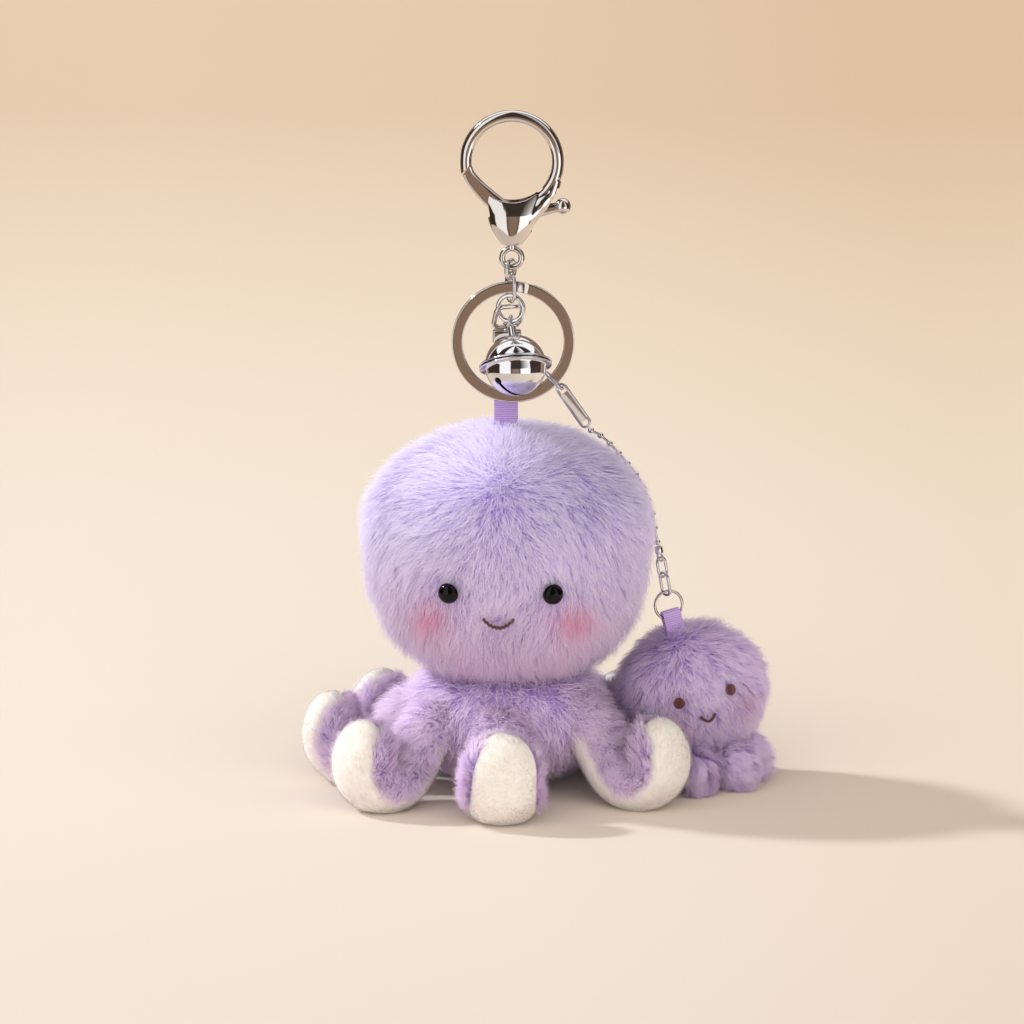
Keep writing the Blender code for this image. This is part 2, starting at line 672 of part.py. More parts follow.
def make_links():
    top = CLASP_LINK_BOTTOM_Z + CLASP_LINK_HEIGHT - CLASP_LINK_WIRE / 2
    link("clasp_link", "chrome_plate", at_plush(LINK_X, 0, CLASP_LINK_BOTTOM_Z + CLASP_LINK_HEIGHT / 2),
         CLASP_LINK_WIDTH, CLASP_LINK_HEIGHT, CLASP_LINK_WIRE, yaw=CLASP_LINK_YAW, arc_points=8,
         pivot=at_plush(LINK_X, 0, top))
    link("ring_link", "chrome_plate", at_plush(LINK_X, 0, RING_LINK_BOTTOM_Z + RING_LINK_HEIGHT / 2),
         RING_LINK_WIDTH, RING_LINK_HEIGHT, RING_LINK_WIRE, yaw=RING_LINK_YAW, arc_points=8)
    link("bell_ring", "chrome_plate", at_plush(LINK_X, 0, BELL_RING_Z), BELL_RING_DIAMETER,
         BELL_RING_DIAMETER, BELL_RING_WIRE, yaw=BELL_RING_YAW, arc_points=12)


def make_key_ring():
    """Two turns of flat wire that cross from the front layer to the back at the ends."""
    centre = at_plush(KEY_RING_X, 0, KEY_RING_Z)
    step = (KEY_RING_LAYER + KEY_RING_LAYER_GAP) / 2
    middle_r = (KEY_RING_DIAMETER - KEY_RING_BAND) / 2
    start = KEY_RING_JOG_ANGLE - 360 + KEY_RING_END_GAP
    finish = KEY_RING_JOG_ANGLE + 360 - KEY_RING_END_GAP
    steps = 56
    rings = []
    for i in range(steps + 1):
        degrees = start + (finish - start) * i / steps
        share = (degrees - KEY_RING_JOG_ANGLE) / KEY_RING_JOG_HALF
        across = max(-1.0, min(1.0, share))
        depth = step * math.sin(across * math.pi / 2)
        angle = math.radians(degrees)
        out = Vector((math.cos(angle), 0, math.sin(angle)))
        place = centre + out * middle_r + Vector((0, depth, 0))
        rings.append(bar_section(place, out, Vector((0, 1, 0)), KEY_RING_BAND / 2, KEY_RING_LAYER / 2, 0.4))
    loft("split_key_ring", "nickel_plate", rings, pivot=centre)


def shell_rings(turn, centre, sign):
    """Outer skin, flange and inner skin of one half of the bell, from pole to pole."""
    outer, rim = BELL_DIAMETER / 2, BELL_RIM_DIAMETER / 2
    inner = outer - BELL_WALL
    low = GAP / 2
    high = low + BELL_FLANGE
    profile = []
    steps = 6
    for i in range(1, steps + 1):
        angle = math.pi / 2 * (1 - i / (steps + 1))
        if outer * math.sin(angle) > high + BELL_FLANGE:
            profile.append((outer * math.cos(angle), outer * math.sin(angle)))
    profile.append((math.sqrt(outer ** 2 - high ** 2), high))
    profile.append((rim - BELL_FLANGE * 0.4, high))
    profile.append((rim, (high + low) / 2))
    profile.append((rim - BELL_FLANGE * 0.4, low))
    profile.append((inner, low))
    for i in range(steps, 0, -1):
        angle = math.pi / 2 * (1 - i / (steps + 1))
        profile.append((inner * math.cos(angle), low + (inner - low) * math.sin(angle)))
    rings = []
    for reach, height in profile:
        middle = centre + turn @ Vector((0, 0, sign * height))
        rings.append(circle(middle, turn @ Vector((1, 0, 0)), turn @ Vector((0, 1, 0)), reach, reach, 18))
    outer_pole = centre + turn @ Vector((0, 0, sign * outer))
    inner_pole = centre + turn @ Vector((0, 0, sign * inner))
    return rings, outer_pole, inner_pole


def make_bell():
    centre = at_plush(BELL_X, BELL_Y, BELL_Z)
    tip = Matrix.Rotation(math.radians(-BELL_TIP_ANGLE), 3, "X")
    turn = Matrix.Rotation(math.radians(BELL_ROLL_ANGLE), 3, "Y") @ tip
    hang = at_plush(LINK_X, 0, BELL_EYE_Z)
    rings, outer_pole, inner_pole = shell_rings(turn, centre, 1)
    upper = round_body("bell_upper_shell", "chrome_plate", rings, outer_pole, inner_pole, hang)
    loop = link("bell_loop_guide", "chrome_plate", hang, BELL_EYE_HOLE + 2 * BELL_EYE_WALL,
                BELL_EYE_HOLE + 2 * BELL_EYE_WALL, BELL_EYE_WALL, yaw=90 + BELL_RING_YAW, arc_points=8)
    root = centre + turn @ Vector((0, 0, BELL_DIAMETER / 2 - BELL_WALL / 2))
    down = (root - hang).normalized()
    post_top = hang + down * (BELL_EYE_HOLE / 2 + BELL_EYE_WALL * 0.6)
    post = rod("bell_post_guide", "chrome_plate", root, post_top, BELL_POST_DIAMETER / 2, 12)
    combine(post, loop, "UNION")
    combine(upper, post, "UNION")

    rings, outer_pole, inner_pole = shell_rings(turn, centre, -1)
    lower = round_body("bell_lower_shell", "chrome_plate", rings, outer_pole, inner_pole, hang)
    yaw = Matrix.Rotation(math.radians(BELL_SLOT_YAW), 3, "Z")
    across, along = turn @ yaw @ Vector((0, 1, 0)), turn @ yaw @ Vector((1, 0, 0))
    down = turn @ Vector((0, 0, -1))
    half = BELL_DIAMETER / 2 * math.sin(math.acos(BELL_SLOT_RISE_SHARE))
    middle = centre + down * (BELL_DIAMETER / 2 * (BELL_SLOT_DEPTH_SHARE + BELL_SLOT_RISE_SHARE) / 2)
    rings = []
    depth = BELL_DIAMETER / 2 * (BELL_SLOT_DEPTH_SHARE - BELL_SLOT_RISE_SHARE) / 2
    for sign in (-1, 1):
        place = middle + along * (sign * half)
        rings.append([place + across * (a * BELL_SLOT_WIDTH / 2) + down * (b * depth)
                      for a, b in ((1, 1), (-1, 1), (-1, -1), (1, -1))])
    slot = loft("bell_slot_cutter", "chrome_plate", rings)
    combine(lower, slot, "DIFFERENCE")
    for name, sign in (("left", -1), ("right", 1)):
        out = down * BELL_SLOT_RISE_SHARE + along * (sign * math.sin(math.acos(BELL_SLOT_RISE_SHARE)))
        skin = centre + out.normalized() * (BELL_DIAMETER / 2)
        hole = rod("bell_hole_cutter_" + name, "chrome_plate", skin - out * OVERRUN, skin + out * OVERRUN,
                   BELL_SLOT_HOLE / 2, 12)
        combine(lower, hole, "DIFFERENCE")
    rest = BELL_DIAMETER / 2 - BELL_WALL - PELLET_DIAMETER / 2 - GAP
    ball("bell_pellet", "spring_steel", centre + down * rest, PELLET_DIAMETER / 2, pivot=centre + down * rest)


def make_strap():
    """D ring, crimp and the ribbon that bows out behind the bell."""
    d_centre = at_plush(D_RING_X, D_RING_Y, D_RING_BOTTOM_Z + D_RING_HEIGHT / 2)
    link("strap_d_ring", "nickel_plate", d_centre, D_RING_WIDTH, D_RING_HEIGHT, D_RING_WIRE,
         yaw=D_RING_YAW, pitch=D_RING_PITCH, corner=D_RING_CORNER, arc_points=8)
    turn = turned(0, D_RING_YAW, D_RING_PITCH)
    bar = d_centre - turn @ Vector((0, 0, (D_RING_HEIGHT - D_RING_WIRE) / 2))
    side, front = Vector((1, 0, 0)), Vector((0, 1, 0))
    rings = []
    for z, inset in ((CRIMP_BOTTOM_Z, CRIMP_EDGE), (CRIMP_BOTTOM_Z + CRIMP_EDGE, 0),
                     (CRIMP_TOP_Z - CRIMP_EDGE, 0), (CRIMP_TOP_Z, CRIMP_EDGE)):
        place = at_plush(CRIMP_X, CRIMP_Y, z)
        rings.append(bar_section(place, side, front, CRIMP_WIDTH / 2 - inset, CRIMP_DEPTH / 2 - inset / 2))
    crimp = loft("strap_crimp", "nickel_plate", rings)
    loop_size = D_RING_WIRE + 2 * GAP + 2 * CRIMP_LOOP_WIRE
    loop = link("crimp_loop_guide", "nickel_plate", bar, loop_size, loop_size, CRIMP_LOOP_WIRE,
                yaw=90 + D_RING_YAW)
    combine(crimp, loop, "UNION")
    half_x, half_y = RIBBON_WIDTH / 2 + GAP, RIBBON_THICKNESS / 2 + 2 * GAP
    slot = box(
        "crimp_slot_cutter", "nickel_plate",
        at_plush(RIBBON_X - half_x, CRIMP_Y - half_y, CRIMP_BOTTOM_Z - OVERRUN),
        at_plush(RIBBON_X + half_x, CRIMP_Y + half_y, RIBBON_TOP_Z + GAP),
    )
    combine(crimp, slot, "DIFFERENCE")
    flat_band("head_ribbon", "ribbon", ribbon_path(), side, RIBBON_WIDTH, RIBBON_THICKNESS)


def flat_band(name, finish, path, side, width, thickness):
    """A ribbon of rectangular section along a path."""
    rings = []
    for i, place in enumerate(path):
        along = (path[min(i + 1, len(path) - 1)] - path[max(i - 1, 0)]).normalized()
        up = along.cross(side).normalized()
        rings.append([place + side * (a * width / 2) + up * (b * thickness / 2)
                      for a, b in ((1, 1), (-1, 1), (-1, -1), (1, -1))])
    return loft(name, finish, rings)


def ribbon_path():
    """The ribbon's middle line from the crown up to the crimp, where it stands upright."""
    foot_share = RIBBON_FOOT_Y / (HEAD_DEPTH / 2)
    foot_z = HEAD_WIDEST_Z + (HEAD_TOP_Z - HEAD_WIDEST_Z) * math.sqrt(1 - foot_share ** 2)
    foot = at_plush(RIBBON_X, RIBBON_FOOT_Y, foot_z + GAP)
    bow = at_plush(RIBBON_X, RIBBON_BOW_Y, RIBBON_BOW_Z)
    neck = at_plush(RIBBON_X, CRIMP_Y, CRIMP_BOTTOM_Z - CRIMP_EDGE)
    top = at_plush(RIBBON_X, CRIMP_Y, RIBBON_TOP_Z)
    points = []
    steps = 10
    for i in range(steps + 1):
        s = i / steps
        a, b, c = (1 - s) * (1 - 2 * s), 4 * s * (1 - s), s * (2 * s - 1)
        points.append(foot * a + bow * b + neck * c)
    points.append(neck.lerp(top, 0.5))
    points.append(top)
    return points


def smooth_route(points, pieces):
    """A Catmull-Rom curve through the route's own points."""
    path = []
    for i in range(len(points) - 1):
        p0, p1 = points[max(i - 1, 0)], points[i]
        p2, p3 = points[i + 1], points[min(i + 2, len(points) - 1)]
        for k in range(pieces):
            t = k / pieces
            path.append(0.5 * (2 * p1 + (p2 - p0) * t + (2 * p0 - 5 * p1 + 4 * p2 - p3) * t ** 2
                               + (3 * p1 - p0 - 3 * p2 + p3) * t ** 3))
    path.append(points[-1].copy())
    return path


def spaced(path, gap):
    """Places along a path at an even spacing, with the direction at each."""
    lengths = [0.0]
    for a, b in zip(path, path[1:]):
        lengths.append(lengths[-1] + (b - a).length)
    count = int(round(lengths[-1] / gap))
    places = []
    for i in range(count + 1):
        want = lengths[-1] * i / count
        k = max(j for j in range(len(path) - 1) if lengths[j] <= want + gap * 1e-6)
        t = (want - lengths[k]) / (lengths[k + 1] - lengths[k])
        places.append((path[k].lerp(path[k + 1], t), (path[k + 1] - path[k]).normalized()))
    return places


def make_chain():
    """Jump ring, connector, ball chain, cup, two links, the baby's ring and its ribbon loop."""
    jump_angle = math.radians(JUMP_ANGLE)
    out = Vector((math.cos(jump_angle), 0, math.sin(jump_angle)))
    band = at_plush(KEY_RING_X, 0, KEY_RING_Z) + out * (KEY_RING_DIAMETER - KEY_RING_BAND) / 2
    link("chain_jump_ring", "chrome_plate", band + out * JUMP_DROP, JUMP_WIDTH, JUMP_HEIGHT, JUMP_WIRE,
         yaw=90, slant=-90 - JUMP_ANGLE, arc_points=8)
    route = smooth_route([at_plush(*p) for p in CHAIN_ROUTE], 6)
    beads = spaced(route, BEAD_PITCH)
    rings = []
    up = Vector((0, 1, 0))
    bead, thin = BEAD_DIAMETER / 2, ROD_DIAMETER / 2
    for i, (place, along) in enumerate(beads):
        side = along.cross(up).normalized()
        over = side.cross(along)
        for angle in (-66, -30, 0, 30, 66):
            t = math.radians(angle)
            first, last = i == 0 and angle < 0, i == len(beads) - 1 and angle > 0
            reach = bead * math.cos(t) if (first or last) else max(bead * math.cos(t), thin)
            rings.append(circle(place + along * (bead * math.sin(t)), side, over, reach, reach, CHAIN_SIDES))
    chain = loft("ball_chain", "chrome_plate", rings)

    first = beads[0][0]
    along = (first - band - out * HOOK_DROP).normalized()
    hook_top = band + out * HOOK_DROP - along * (HOOK_WIRE / 2)
    length = (first - hook_top).length - BEAD_DIAMETER / 2 - GAP
    middle = hook_top + along * (length / 2)
    roll = math.degrees(math.atan2(-along.x, -along.z)) + 180
    hook = link("chain_hook", "chrome_plate", middle, HOOK_WIDTH, length, HOOK_WIRE, roll=roll, arc_points=8)
    side = Vector((along.z, 0, -along.x)).normalized()
    plate_middle = middle + side * (-HOOK_WIDTH / 2 + HOOK_WIRE / 2)
    rings = [bar_section(plate_middle + along * (length * s), side, up, HOOK_WIRE * 0.45,
                         HOOK_PLATE_WIDTH / 2) for s in (-0.32, 0.32)]
    plate = loft("hook_plate_guide", "chrome_plate", rings)
    combine(hook, plate, "UNION")

    last, direction = beads[-1]
    cup_top = last + direction * (BEAD_DIAMETER / 2 + GAP)
    slant = math.radians(CHAIN_SLANT)
    down = Vector((math.sin(slant), 0, -math.cos(slant)))
    cup = rod("chain_cup", "chrome_plate", cup_top, cup_top + down * CUP_LENGTH, CUP_DIAMETER / 2, 12)
    loop_outer = CUP_LOOP_HOLE + 2 * CUP_LOOP_WALL
    loop_centre = cup_top + down * (CUP_LENGTH + loop_outer / 2 - CUP_LOOP_WALL * 0.8)
    loop = link("cup_loop_guide", "chrome_plate", loop_centre, loop_outer, loop_outer, CUP_LOOP_WALL,
                yaw=LONG_LINK_YAW + 90, slant=-CHAIN_SLANT)
    combine(cup, loop, "UNION")

    long_top = loop_centre + down * (CUP_LOOP_HOLE / 2 - GAP - LINK_WIRE)
    link("chain_long_link", "chrome_plate", long_top + down * (LONG_LINK_HEIGHT / 2), LONG_LINK_WIDTH,
         LONG_LINK_HEIGHT, LINK_WIRE, yaw=LONG_LINK_YAW, slant=-CHAIN_SLANT)
    short_top = long_top + down * (LONG_LINK_HEIGHT - 2 * LINK_WIRE - GAP)
    link("chain_short_link", "chrome_plate", short_top + down * (SHORT_LINK_HEIGHT / 2), SHORT_LINK_WIDTH,
         SHORT_LINK_HEIGHT, LINK_WIRE, yaw=SHORT_LINK_YAW, slant=-CHAIN_SLANT)
    ring_top = short_top + down * (SHORT_LINK_HEIGHT - LINK_WIRE - BABY_RING_WIRE - GAP)
    pivot = ring_top + down * (BABY_RING_WIRE / 2)
    ring_centre = ring_top + down * (BABY_RING_DIAMETER / 2)
    link("baby_ring", "nickel_plate", ring_centre, BABY_RING_DIAMETER, BABY_RING_DIAMETER, BABY_RING_WIRE,
         yaw=BABY_RING_YAW, slant=-CHAIN_SLANT, arc_points=10, pivot=pivot)
    return ring_centre, pivot


def make_baby_ribbon(ring_centre):
    """A loop of ribbon round the baby's ring, with both ends sewn into its crown."""
    radius = BABY_RING_WIRE / 2 + GAP + BABY_RIBBON_THICKNESS / 2
    lean = turned(0, BABY_RING_YAW, 0, BABY_ROLL)
    side, up, back = lean @ Vector((1, 0, 0)), lean @ Vector((0, 0, 1)), lean @ Vector((0, 1, 0))
    bar = ring_centre - up * ((BABY_RING_DIAMETER - BABY_RING_WIRE) / 2)
    crest = bar + up * BABY_RIBBON_RISE
    path = [crest - back * radius - up * BABY_RIBBON_LENGTH]
    for k in range(9):
        angle = math.pi * k / 8
        path.append(crest - back * (radius * math.cos(angle)) + up * (radius * math.sin(angle)))
    path.append(crest + back * radius - up * BABY_RIBBON_LENGTH)
    band = flat_band("baby_ribbon", "ribbon", path, side, BABY_RIBBON_WIDTH, BABY_RIBBON_THICKNESS)
    combine(band, round_body("baby_ribbon_cutter", "baby_fur", *baby_rings(GAP)), "DIFFERENCE")


def baby_frame():
    return at_plush(BABY_X, BABY_Y, BABY_Z), Matrix.Rotation(math.radians(BABY_ROLL), 3, "Y")


def baby_rings(grow):
    centre, turn = baby_frame()
    half_x, half_y, half_z = BABY_WIDTH / 2 + grow, BABY_DEPTH / 2 + grow, BABY_HEIGHT / 2 + grow
    side, front = turn @ Vector((1, 0, 0)), turn @ Vector((0, 1, 0))
    rings = []
    for i in range(1, BABY_STEPS):
        angle = math.pi * i / BABY_STEPS - math.pi / 2
        middle = centre + turn @ Vector((0, 0, half_z * math.sin(angle)))
        reach = math.cos(angle)
        rings.append(circle(middle, side, front, half_x * reach, half_y * reach, BABY_SIDES))
    return rings, centre - turn @ Vector((0, 0, half_z)), centre + turn @ Vector((0, 0, half_z))


def make_baby(pivot):
    """The baby's head with stitched eyes and mouth, and its stub arms."""
    centre, turn = baby_frame()
    head = round_body("baby_head", "baby_fur", *baby_rings(0), pivot=pivot)
    half_x, half_y, half_z = BABY_WIDTH / 2, BABY_DEPTH / 2, BABY_HEIGHT / 2

    def on_face(x_share, z_share, lift):
        y_share = -math.sqrt(1 - x_share ** 2 - z_share ** 2)
        place = Vector((half_x * x_share, half_y * y_share, half_z * z_share))
        normal = Vector((x_share / half_x, y_share / half_y, z_share / half_z)).normalized()
        return centre + turn @ (place + normal * lift), turn @ normal

    for name, sign in (("baby_eye_left", -1), ("baby_eye_right", 1)):
        x_share = sign * BABY_EYE_SPACING_SHARE + BABY_FACE_SHIFT_SHARE
        low, normal = on_face(x_share, BABY_EYE_RISE_SHARE, GAP * 1.3)
        rod(name, "brown_thread", low, low + normal * BABY_EYE_DEPTH, BABY_EYE_DIAMETER / 2, 14, pivot)
    path = []
    normals = []
    for k in range(9):
        s = k / 4 - 1
        x_share = s * BABY_MOUTH_WIDTH / 2 / half_x + BABY_FACE_SHIFT_SHARE
        z_share = BABY_MOUTH_RISE_SHARE + (s * s - 1) * BABY_MOUTH_DROP / half_z
        place, normal = on_face(x_share, z_share, GAP + BABY_MOUTH_THREAD * 0.6)
        path.append(place)
        normals.append(normal)
    thread("baby_mouth", path, normals, BABY_MOUTH_THREAD, pivot)

    for k in range(BABY_ARM_COUNT):
        make_baby_arm(k, pivot)


def thread(name, path, normals, size, pivot=None):
    """A row of satin stitch as one rounded strip."""
    rings = []
    for i, place in enumerate(path):
        along = (path[min(i + 1, len(path) - 1)] - path[max(i - 1, 0)]).normalized()
        side = along.cross(normals[i]).normalized()
        rings.append(circle(place, side, normals[i], size / 2, size / 2, 8))
    return loft(name, "brown_thread", rings, pivot=pivot)


def make_baby_arm(index, pivot):
    angle = math.radians(BABY_ARM_TURN + 360 / BABY_ARM_COUNT * index)
    out = Vector((math.cos(angle), math.sin(angle), 0))
    side = Vector((-math.sin(angle), math.cos(angle), 0))
    up = Vector((0, 0, 1))
    base = at_plush(BABY_X, BABY_Y, 0)
    root = base + out * BABY_ARM_ROOT + up * BABY_ARM_ROOT_Z
    tip = base + out * BABY_ARM_REACH + up * BABY_ARM_TIP_Z
    rings = []
    steps = BABY_ARM_STEPS
    for i in range(1, steps):
        s = i / steps
        swell = math.sqrt(1 - (2 * s - 1) ** 2) ** 0.8
        place = root.lerp(tip, s)
        half_side, half_up = BABY_ARM_WIDTH / 2 * swell, BABY_ARM_THICKNESS / 2 * swell
        rings.append(circle(place, side, up, half_side, half_up, BABY_ARM_SIDES))
    arm = round_body("baby_arm_%d" % (index + 1), "baby_fur", rings, root, tip, pivot)
    head_cutter = bpy.data.objects.get("baby_head_cutter")
    if head_cutter is None:
        head_cutter = round_body("baby_head_cutter", "baby_fur", *baby_rings(GAP))
    combine(arm, head_cutter, "DIFFERENCE")
    combine(arm, bpy.data.objects["floor_cutter"], "DIFFERENCE")


def make_head():
    """The stuffed head, with pockets for the eye posts and their washers."""
    head = round_body("head", "plush_fur", *head_rings(0))
    for name, sign in (("left", -1), ("right", 1)):
        x = FACE_X + sign * EYE_SPACING / 2
        surface = at_plush(x, -face_depth(x, EYE_Z), EYE_Z)
        normal = face_normal(x, EYE_Z)
        post_cutter = rod("eye_post_cutter_" + name, "plush_fur", surface + normal * OVERRUN,
                          surface - normal * (EYE_POST_LENGTH + GAP), EYE_POST_DIAMETER / 2 + GAP, 12)
        combine(head, post_cutter, "DIFFERENCE")
        washer_low = surface - normal * WASHER_DEPTH
        washer_high = washer_low - normal * WASHER_THICKNESS
        pocket = rod("washer_cutter_" + name, "plush_fur", washer_low + normal * GAP,
                     washer_high - normal * GAP, WASHER_DIAMETER / 2 + GAP, 16)
        combine(head, pocket, "DIFFERENCE")
        make_eye(name, surface, normal)
        washer = rod("eye_washer_" + name, "washer_plastic", washer_low, washer_high, WASHER_DIAMETER / 2, 16)
        hole = rod("washer_hole_cutter_" + name, "washer_plastic", washer_low + normal * OVERRUN,
                   washer_high - normal * OVERRUN, EYE_POST_DIAMETER / 2 + GAP, 12)
        combine(washer, hole, "DIFFERENCE")
    path, normals = [], []
    for k in range(9):
        s = k / 4 - 1
        x = MOUTH_X + s * MOUTH_WIDTH / 2
        z = MOUTH_Z + (s * s - 1) * MOUTH_DROP
        normal = face_normal(x, z)
        path.append(at_plush(x, -face_depth(x, z), z) + normal * (GAP + MOUTH_THREAD * 0.6))
        normals.append(normal)
    thread("mouth_stitch", path, normals, MOUTH_THREAD)


def make_eye(name, surface, normal):
    """A domed safety eye whose post goes through the fabric."""
    side = normal.orthogonal().normalized()
    up = normal.cross(side)
    base = surface + normal * (GAP + EYE_BASE_LIFT)
    rings = [circle(base, side, up, EYE_DIAMETER / 2, EYE_DIAMETER / 2, 18)]
    for i in range(1, 5):
        angle = math.pi / 2 * i / 5
        reach = EYE_DIAMETER / 2 * math.cos(angle)
        rings.append(circle(base + normal * (EYE_HEIGHT * math.sin(angle)), side, up, reach, reach, 18))
    eye = round_body("eye_" + name, "black_eye", rings, base, base + normal * EYE_HEIGHT)
    post = rod("eye_post_guide_" + name, "black_eye", base + normal * EYE_BASE_LIFT,
               surface - normal * EYE_POST_LENGTH, EYE_POST_DIAMETER / 2, 12)
    combine(eye, post, "UNION")


def tentacle_path(reach):
    """The J of a tentacle in its own plane: out, down and curled up at the tip."""
    half = TENTACLE_THICKNESS / 2
    floor = half - TENTACLE_FLAT
    outer = reach - half
    span = outer - TENTACLE_ROOT_R
    path = [(TENTACLE_ROOT_R, TENTACLE_ROOT_Z)]
    for out_share, root_share, floor_share, tip_share in TENTACLE_PATH_SHARES:
        height = TENTACLE_ROOT_Z * root_share + floor * floor_share + TENTACLE_TIP_Z * tip_share
        path.append((TENTACLE_ROOT_R + span * min(out_share, 1.0) - half * max(out_share - 1.0, 0.0), height))
    return path


def mixed(low_share, share):
    return low_share + (1 - low_share) * share


def make_tentacle(name, degrees, reach, full_width):
    """The furred upper part and the velour sole of one tentacle, each its own solid."""
    angle = math.radians(degrees)
    out = Vector((math.cos(angle), math.sin(angle), 0))
    side = Vector((-math.sin(angle), math.cos(angle), 0))
    up = Vector((0, 0, 1))
    plane = [Vector((r, 0, z)) for r, z in tentacle_path(reach)]
    route = smooth_route(plane, 5)
    stations = spaced(route, sum((b - a).length for a, b in zip(route, route[1:])) / TENTACLE_STEPS)
    base = at_plush(0, 0, 0)
    upper_rings, sole_rings = [], []
    last = len(stations) - 1
    for i, (flat, along) in enumerate(stations):
        s = i / last
        place = base + out * flat.x + up * flat.z
        lift = (up * along.x - out * along.z).normalized()
        past = max(s - TENTACLE_TAPER_SHARE, 0.0) / TENTACLE_TIP_SHARE
        taper = math.sqrt(max(1 - past ** 2, 0.0))
        swell = math.sin(min(s / TENTACLE_SWELL_SHARE, 1.0) * math.pi / 2)
        width = full_width / 2 * mixed(TENTACLE_ROOT_WIDTH_SHARE, swell) * taper
        thick = TENTACLE_THICKNESS / 2 * mixed(TENTACLE_ROOT_THICKNESS_SHARE, swell)
        thick *= mixed(TENTACLE_TIP_THICKNESS_SHARE, taper)
        seam = -thick * TENTACLE_SEAM_SHARE
        upper_rings.append(half_section(place, side, lift, width, thick, seam + GAP / 2, 1))
        sole_width = width * SOLE_WIDTH_SHARE
        sole_rings.append(half_section(place, side, lift, sole_width, thick, seam - GAP / 2, -1))
    upper = loft("tentacle_" + name, "plush_fur", upper_rings)
    sole = loft("sole_" + name, "cream_velour", sole_rings)
    for item in (upper, sole):
        combine(item, bpy.data.objects["hub_cutter"], "DIFFERENCE")
        combine(item, bpy.data.objects["head_cutter"], "DIFFERENCE")
    combine(sole, bpy.data.objects["floor_cutter"], "DIFFERENCE")


def half_section(place, side, lift, width, thick, seam, sign):
    """The part of an oval on one side of the seam line."""
    start = math.asin(max(-1.0, min(1.0, seam / thick)))
    if sign > 0:
        low, high = start, math.pi - start
    else:
        low, high = start, -math.pi - start
    points = []
    for k in range(TENTACLE_ARC_POINTS + 1):
        t = low + (high - low) * k / TENTACLE_ARC_POINTS
        points.append(place + side * (width * math.cos(t)) + lift * (thick * math.sin(t)))
    return points


def make_plush():
    make_head()
    round_body("body_hub", "plush_fur", *hub_rings(0))
    round_body("head_cutter", "plush_fur", *head_rings(GAP))
    combine(bpy.data.objects["body_hub"], bpy.data.objects["head_cutter"], "DIFFERENCE")
    as_cutter(round_body("hub_cutter", "plush_fur", *hub_rings(GAP)))
    floor = box("floor_cutter", "plush_fur", (-HEAD_WIDTH, -HEAD_WIDTH, -HUB_TOP_Z),
                (HEAD_WIDTH, HEAD_WIDTH, 0))
    as_cutter(floor)
    for name, degrees, reach, width in TENTACLES:
        make_tentacle(name, degrees, reach, width)


clear_scene()
make_plush()
make_clasp()
make_links()
make_key_ring()
make_bell()
make_strap()
baby_ring_centre, baby_pivot = make_chain()
make_baby_ribbon(baby_ring_centre)
make_baby(baby_pivot)
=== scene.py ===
# A plush octopus key chain: a fur octopus on a velour-soled foot of tentacles, its strap,
# bell, split ring and clasp, and a small octopus that hangs beside it on a ball chain.
import math

import bmesh
import bpy
import numpy as np
from mathutils import Matrix, Vector
from mathutils.kdtree import KDTree


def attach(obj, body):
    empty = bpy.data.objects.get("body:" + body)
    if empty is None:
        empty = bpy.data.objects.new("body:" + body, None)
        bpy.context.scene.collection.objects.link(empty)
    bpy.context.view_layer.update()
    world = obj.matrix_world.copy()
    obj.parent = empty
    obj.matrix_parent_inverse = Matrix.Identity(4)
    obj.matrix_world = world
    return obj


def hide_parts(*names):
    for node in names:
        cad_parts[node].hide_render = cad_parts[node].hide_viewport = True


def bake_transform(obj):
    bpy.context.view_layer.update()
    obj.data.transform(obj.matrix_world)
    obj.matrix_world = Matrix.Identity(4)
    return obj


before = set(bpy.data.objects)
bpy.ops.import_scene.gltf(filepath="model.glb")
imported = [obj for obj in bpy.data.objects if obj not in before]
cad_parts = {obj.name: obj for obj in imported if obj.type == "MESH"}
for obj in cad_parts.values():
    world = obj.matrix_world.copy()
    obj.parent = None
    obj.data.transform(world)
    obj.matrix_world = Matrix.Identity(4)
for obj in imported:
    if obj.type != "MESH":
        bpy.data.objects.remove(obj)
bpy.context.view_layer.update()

# ---------------------------------------------------------------- camera and studio
# The toy stands on a sweep of warmly tinted cream paper, and the camera and the metal see it a little darker
# than the off-white that its bounced light has, with painted shade that darkens it towards the back, the right and
# a little towards the front. A low lamp from the left throws the long shadow, and a pale room fills the rest.
# Metal mirrors a brown room behind the camera, with white windows.
MM = 0.001
PLUSH_X, PLUSH_Y = -6.4 * MM, 1.5 * MM
VIEW_RISE = math.radians(12.0)
VIEW_DISTANCE = 2.4
PIXELS_PER_METRE = 4070.0
FRAME_PIXELS = 1024
LAMP_RISE = 0.70


def linear(hex_colour):
    """One sRGB hex colour as a linear RGBA tuple."""
    out = []
    for k in (1, 3, 5):
        c = int(hex_colour[k:k + 2], 16) / 255
        out.append(c / 12.92 if c <= 0.04045 else ((c + 0.055) / 1.055) ** 2.4)
    return (*out, 1.0)


def new_material(name):
    """An empty node material with its output node."""
    made = bpy.data.materials.new(name)
    made.use_nodes = True
    made.node_tree.nodes.clear()
    return made, made.node_tree, made.node_tree.nodes.new("ShaderNodeOutputMaterial")


def node(tree, kind, settings=None, links=None):
    """Adds one node, sets its properties or sockets, and links the sockets that are given a source."""
    made = tree.nodes.new(kind)
    for key, value in (settings or {}).items():
        if isinstance(key, int) or key in made.inputs:
            made.inputs[key].default_value = value
        else:
            setattr(made, key, value)
    for key, source in (links or {}).items():
        tree.links.new(source, made.inputs[key])
    return made


def maths(tree, operation, *terms):
    """One Math node over sockets and numbers."""
    made = node(tree, "ShaderNodeMath", {"operation": operation})
    for slot, term in enumerate(terms):
        if isinstance(term, (int, float)):
            made.inputs[slot].default_value = term
        else:
            tree.links.new(term, made.inputs[slot])
    return made.outputs[0]


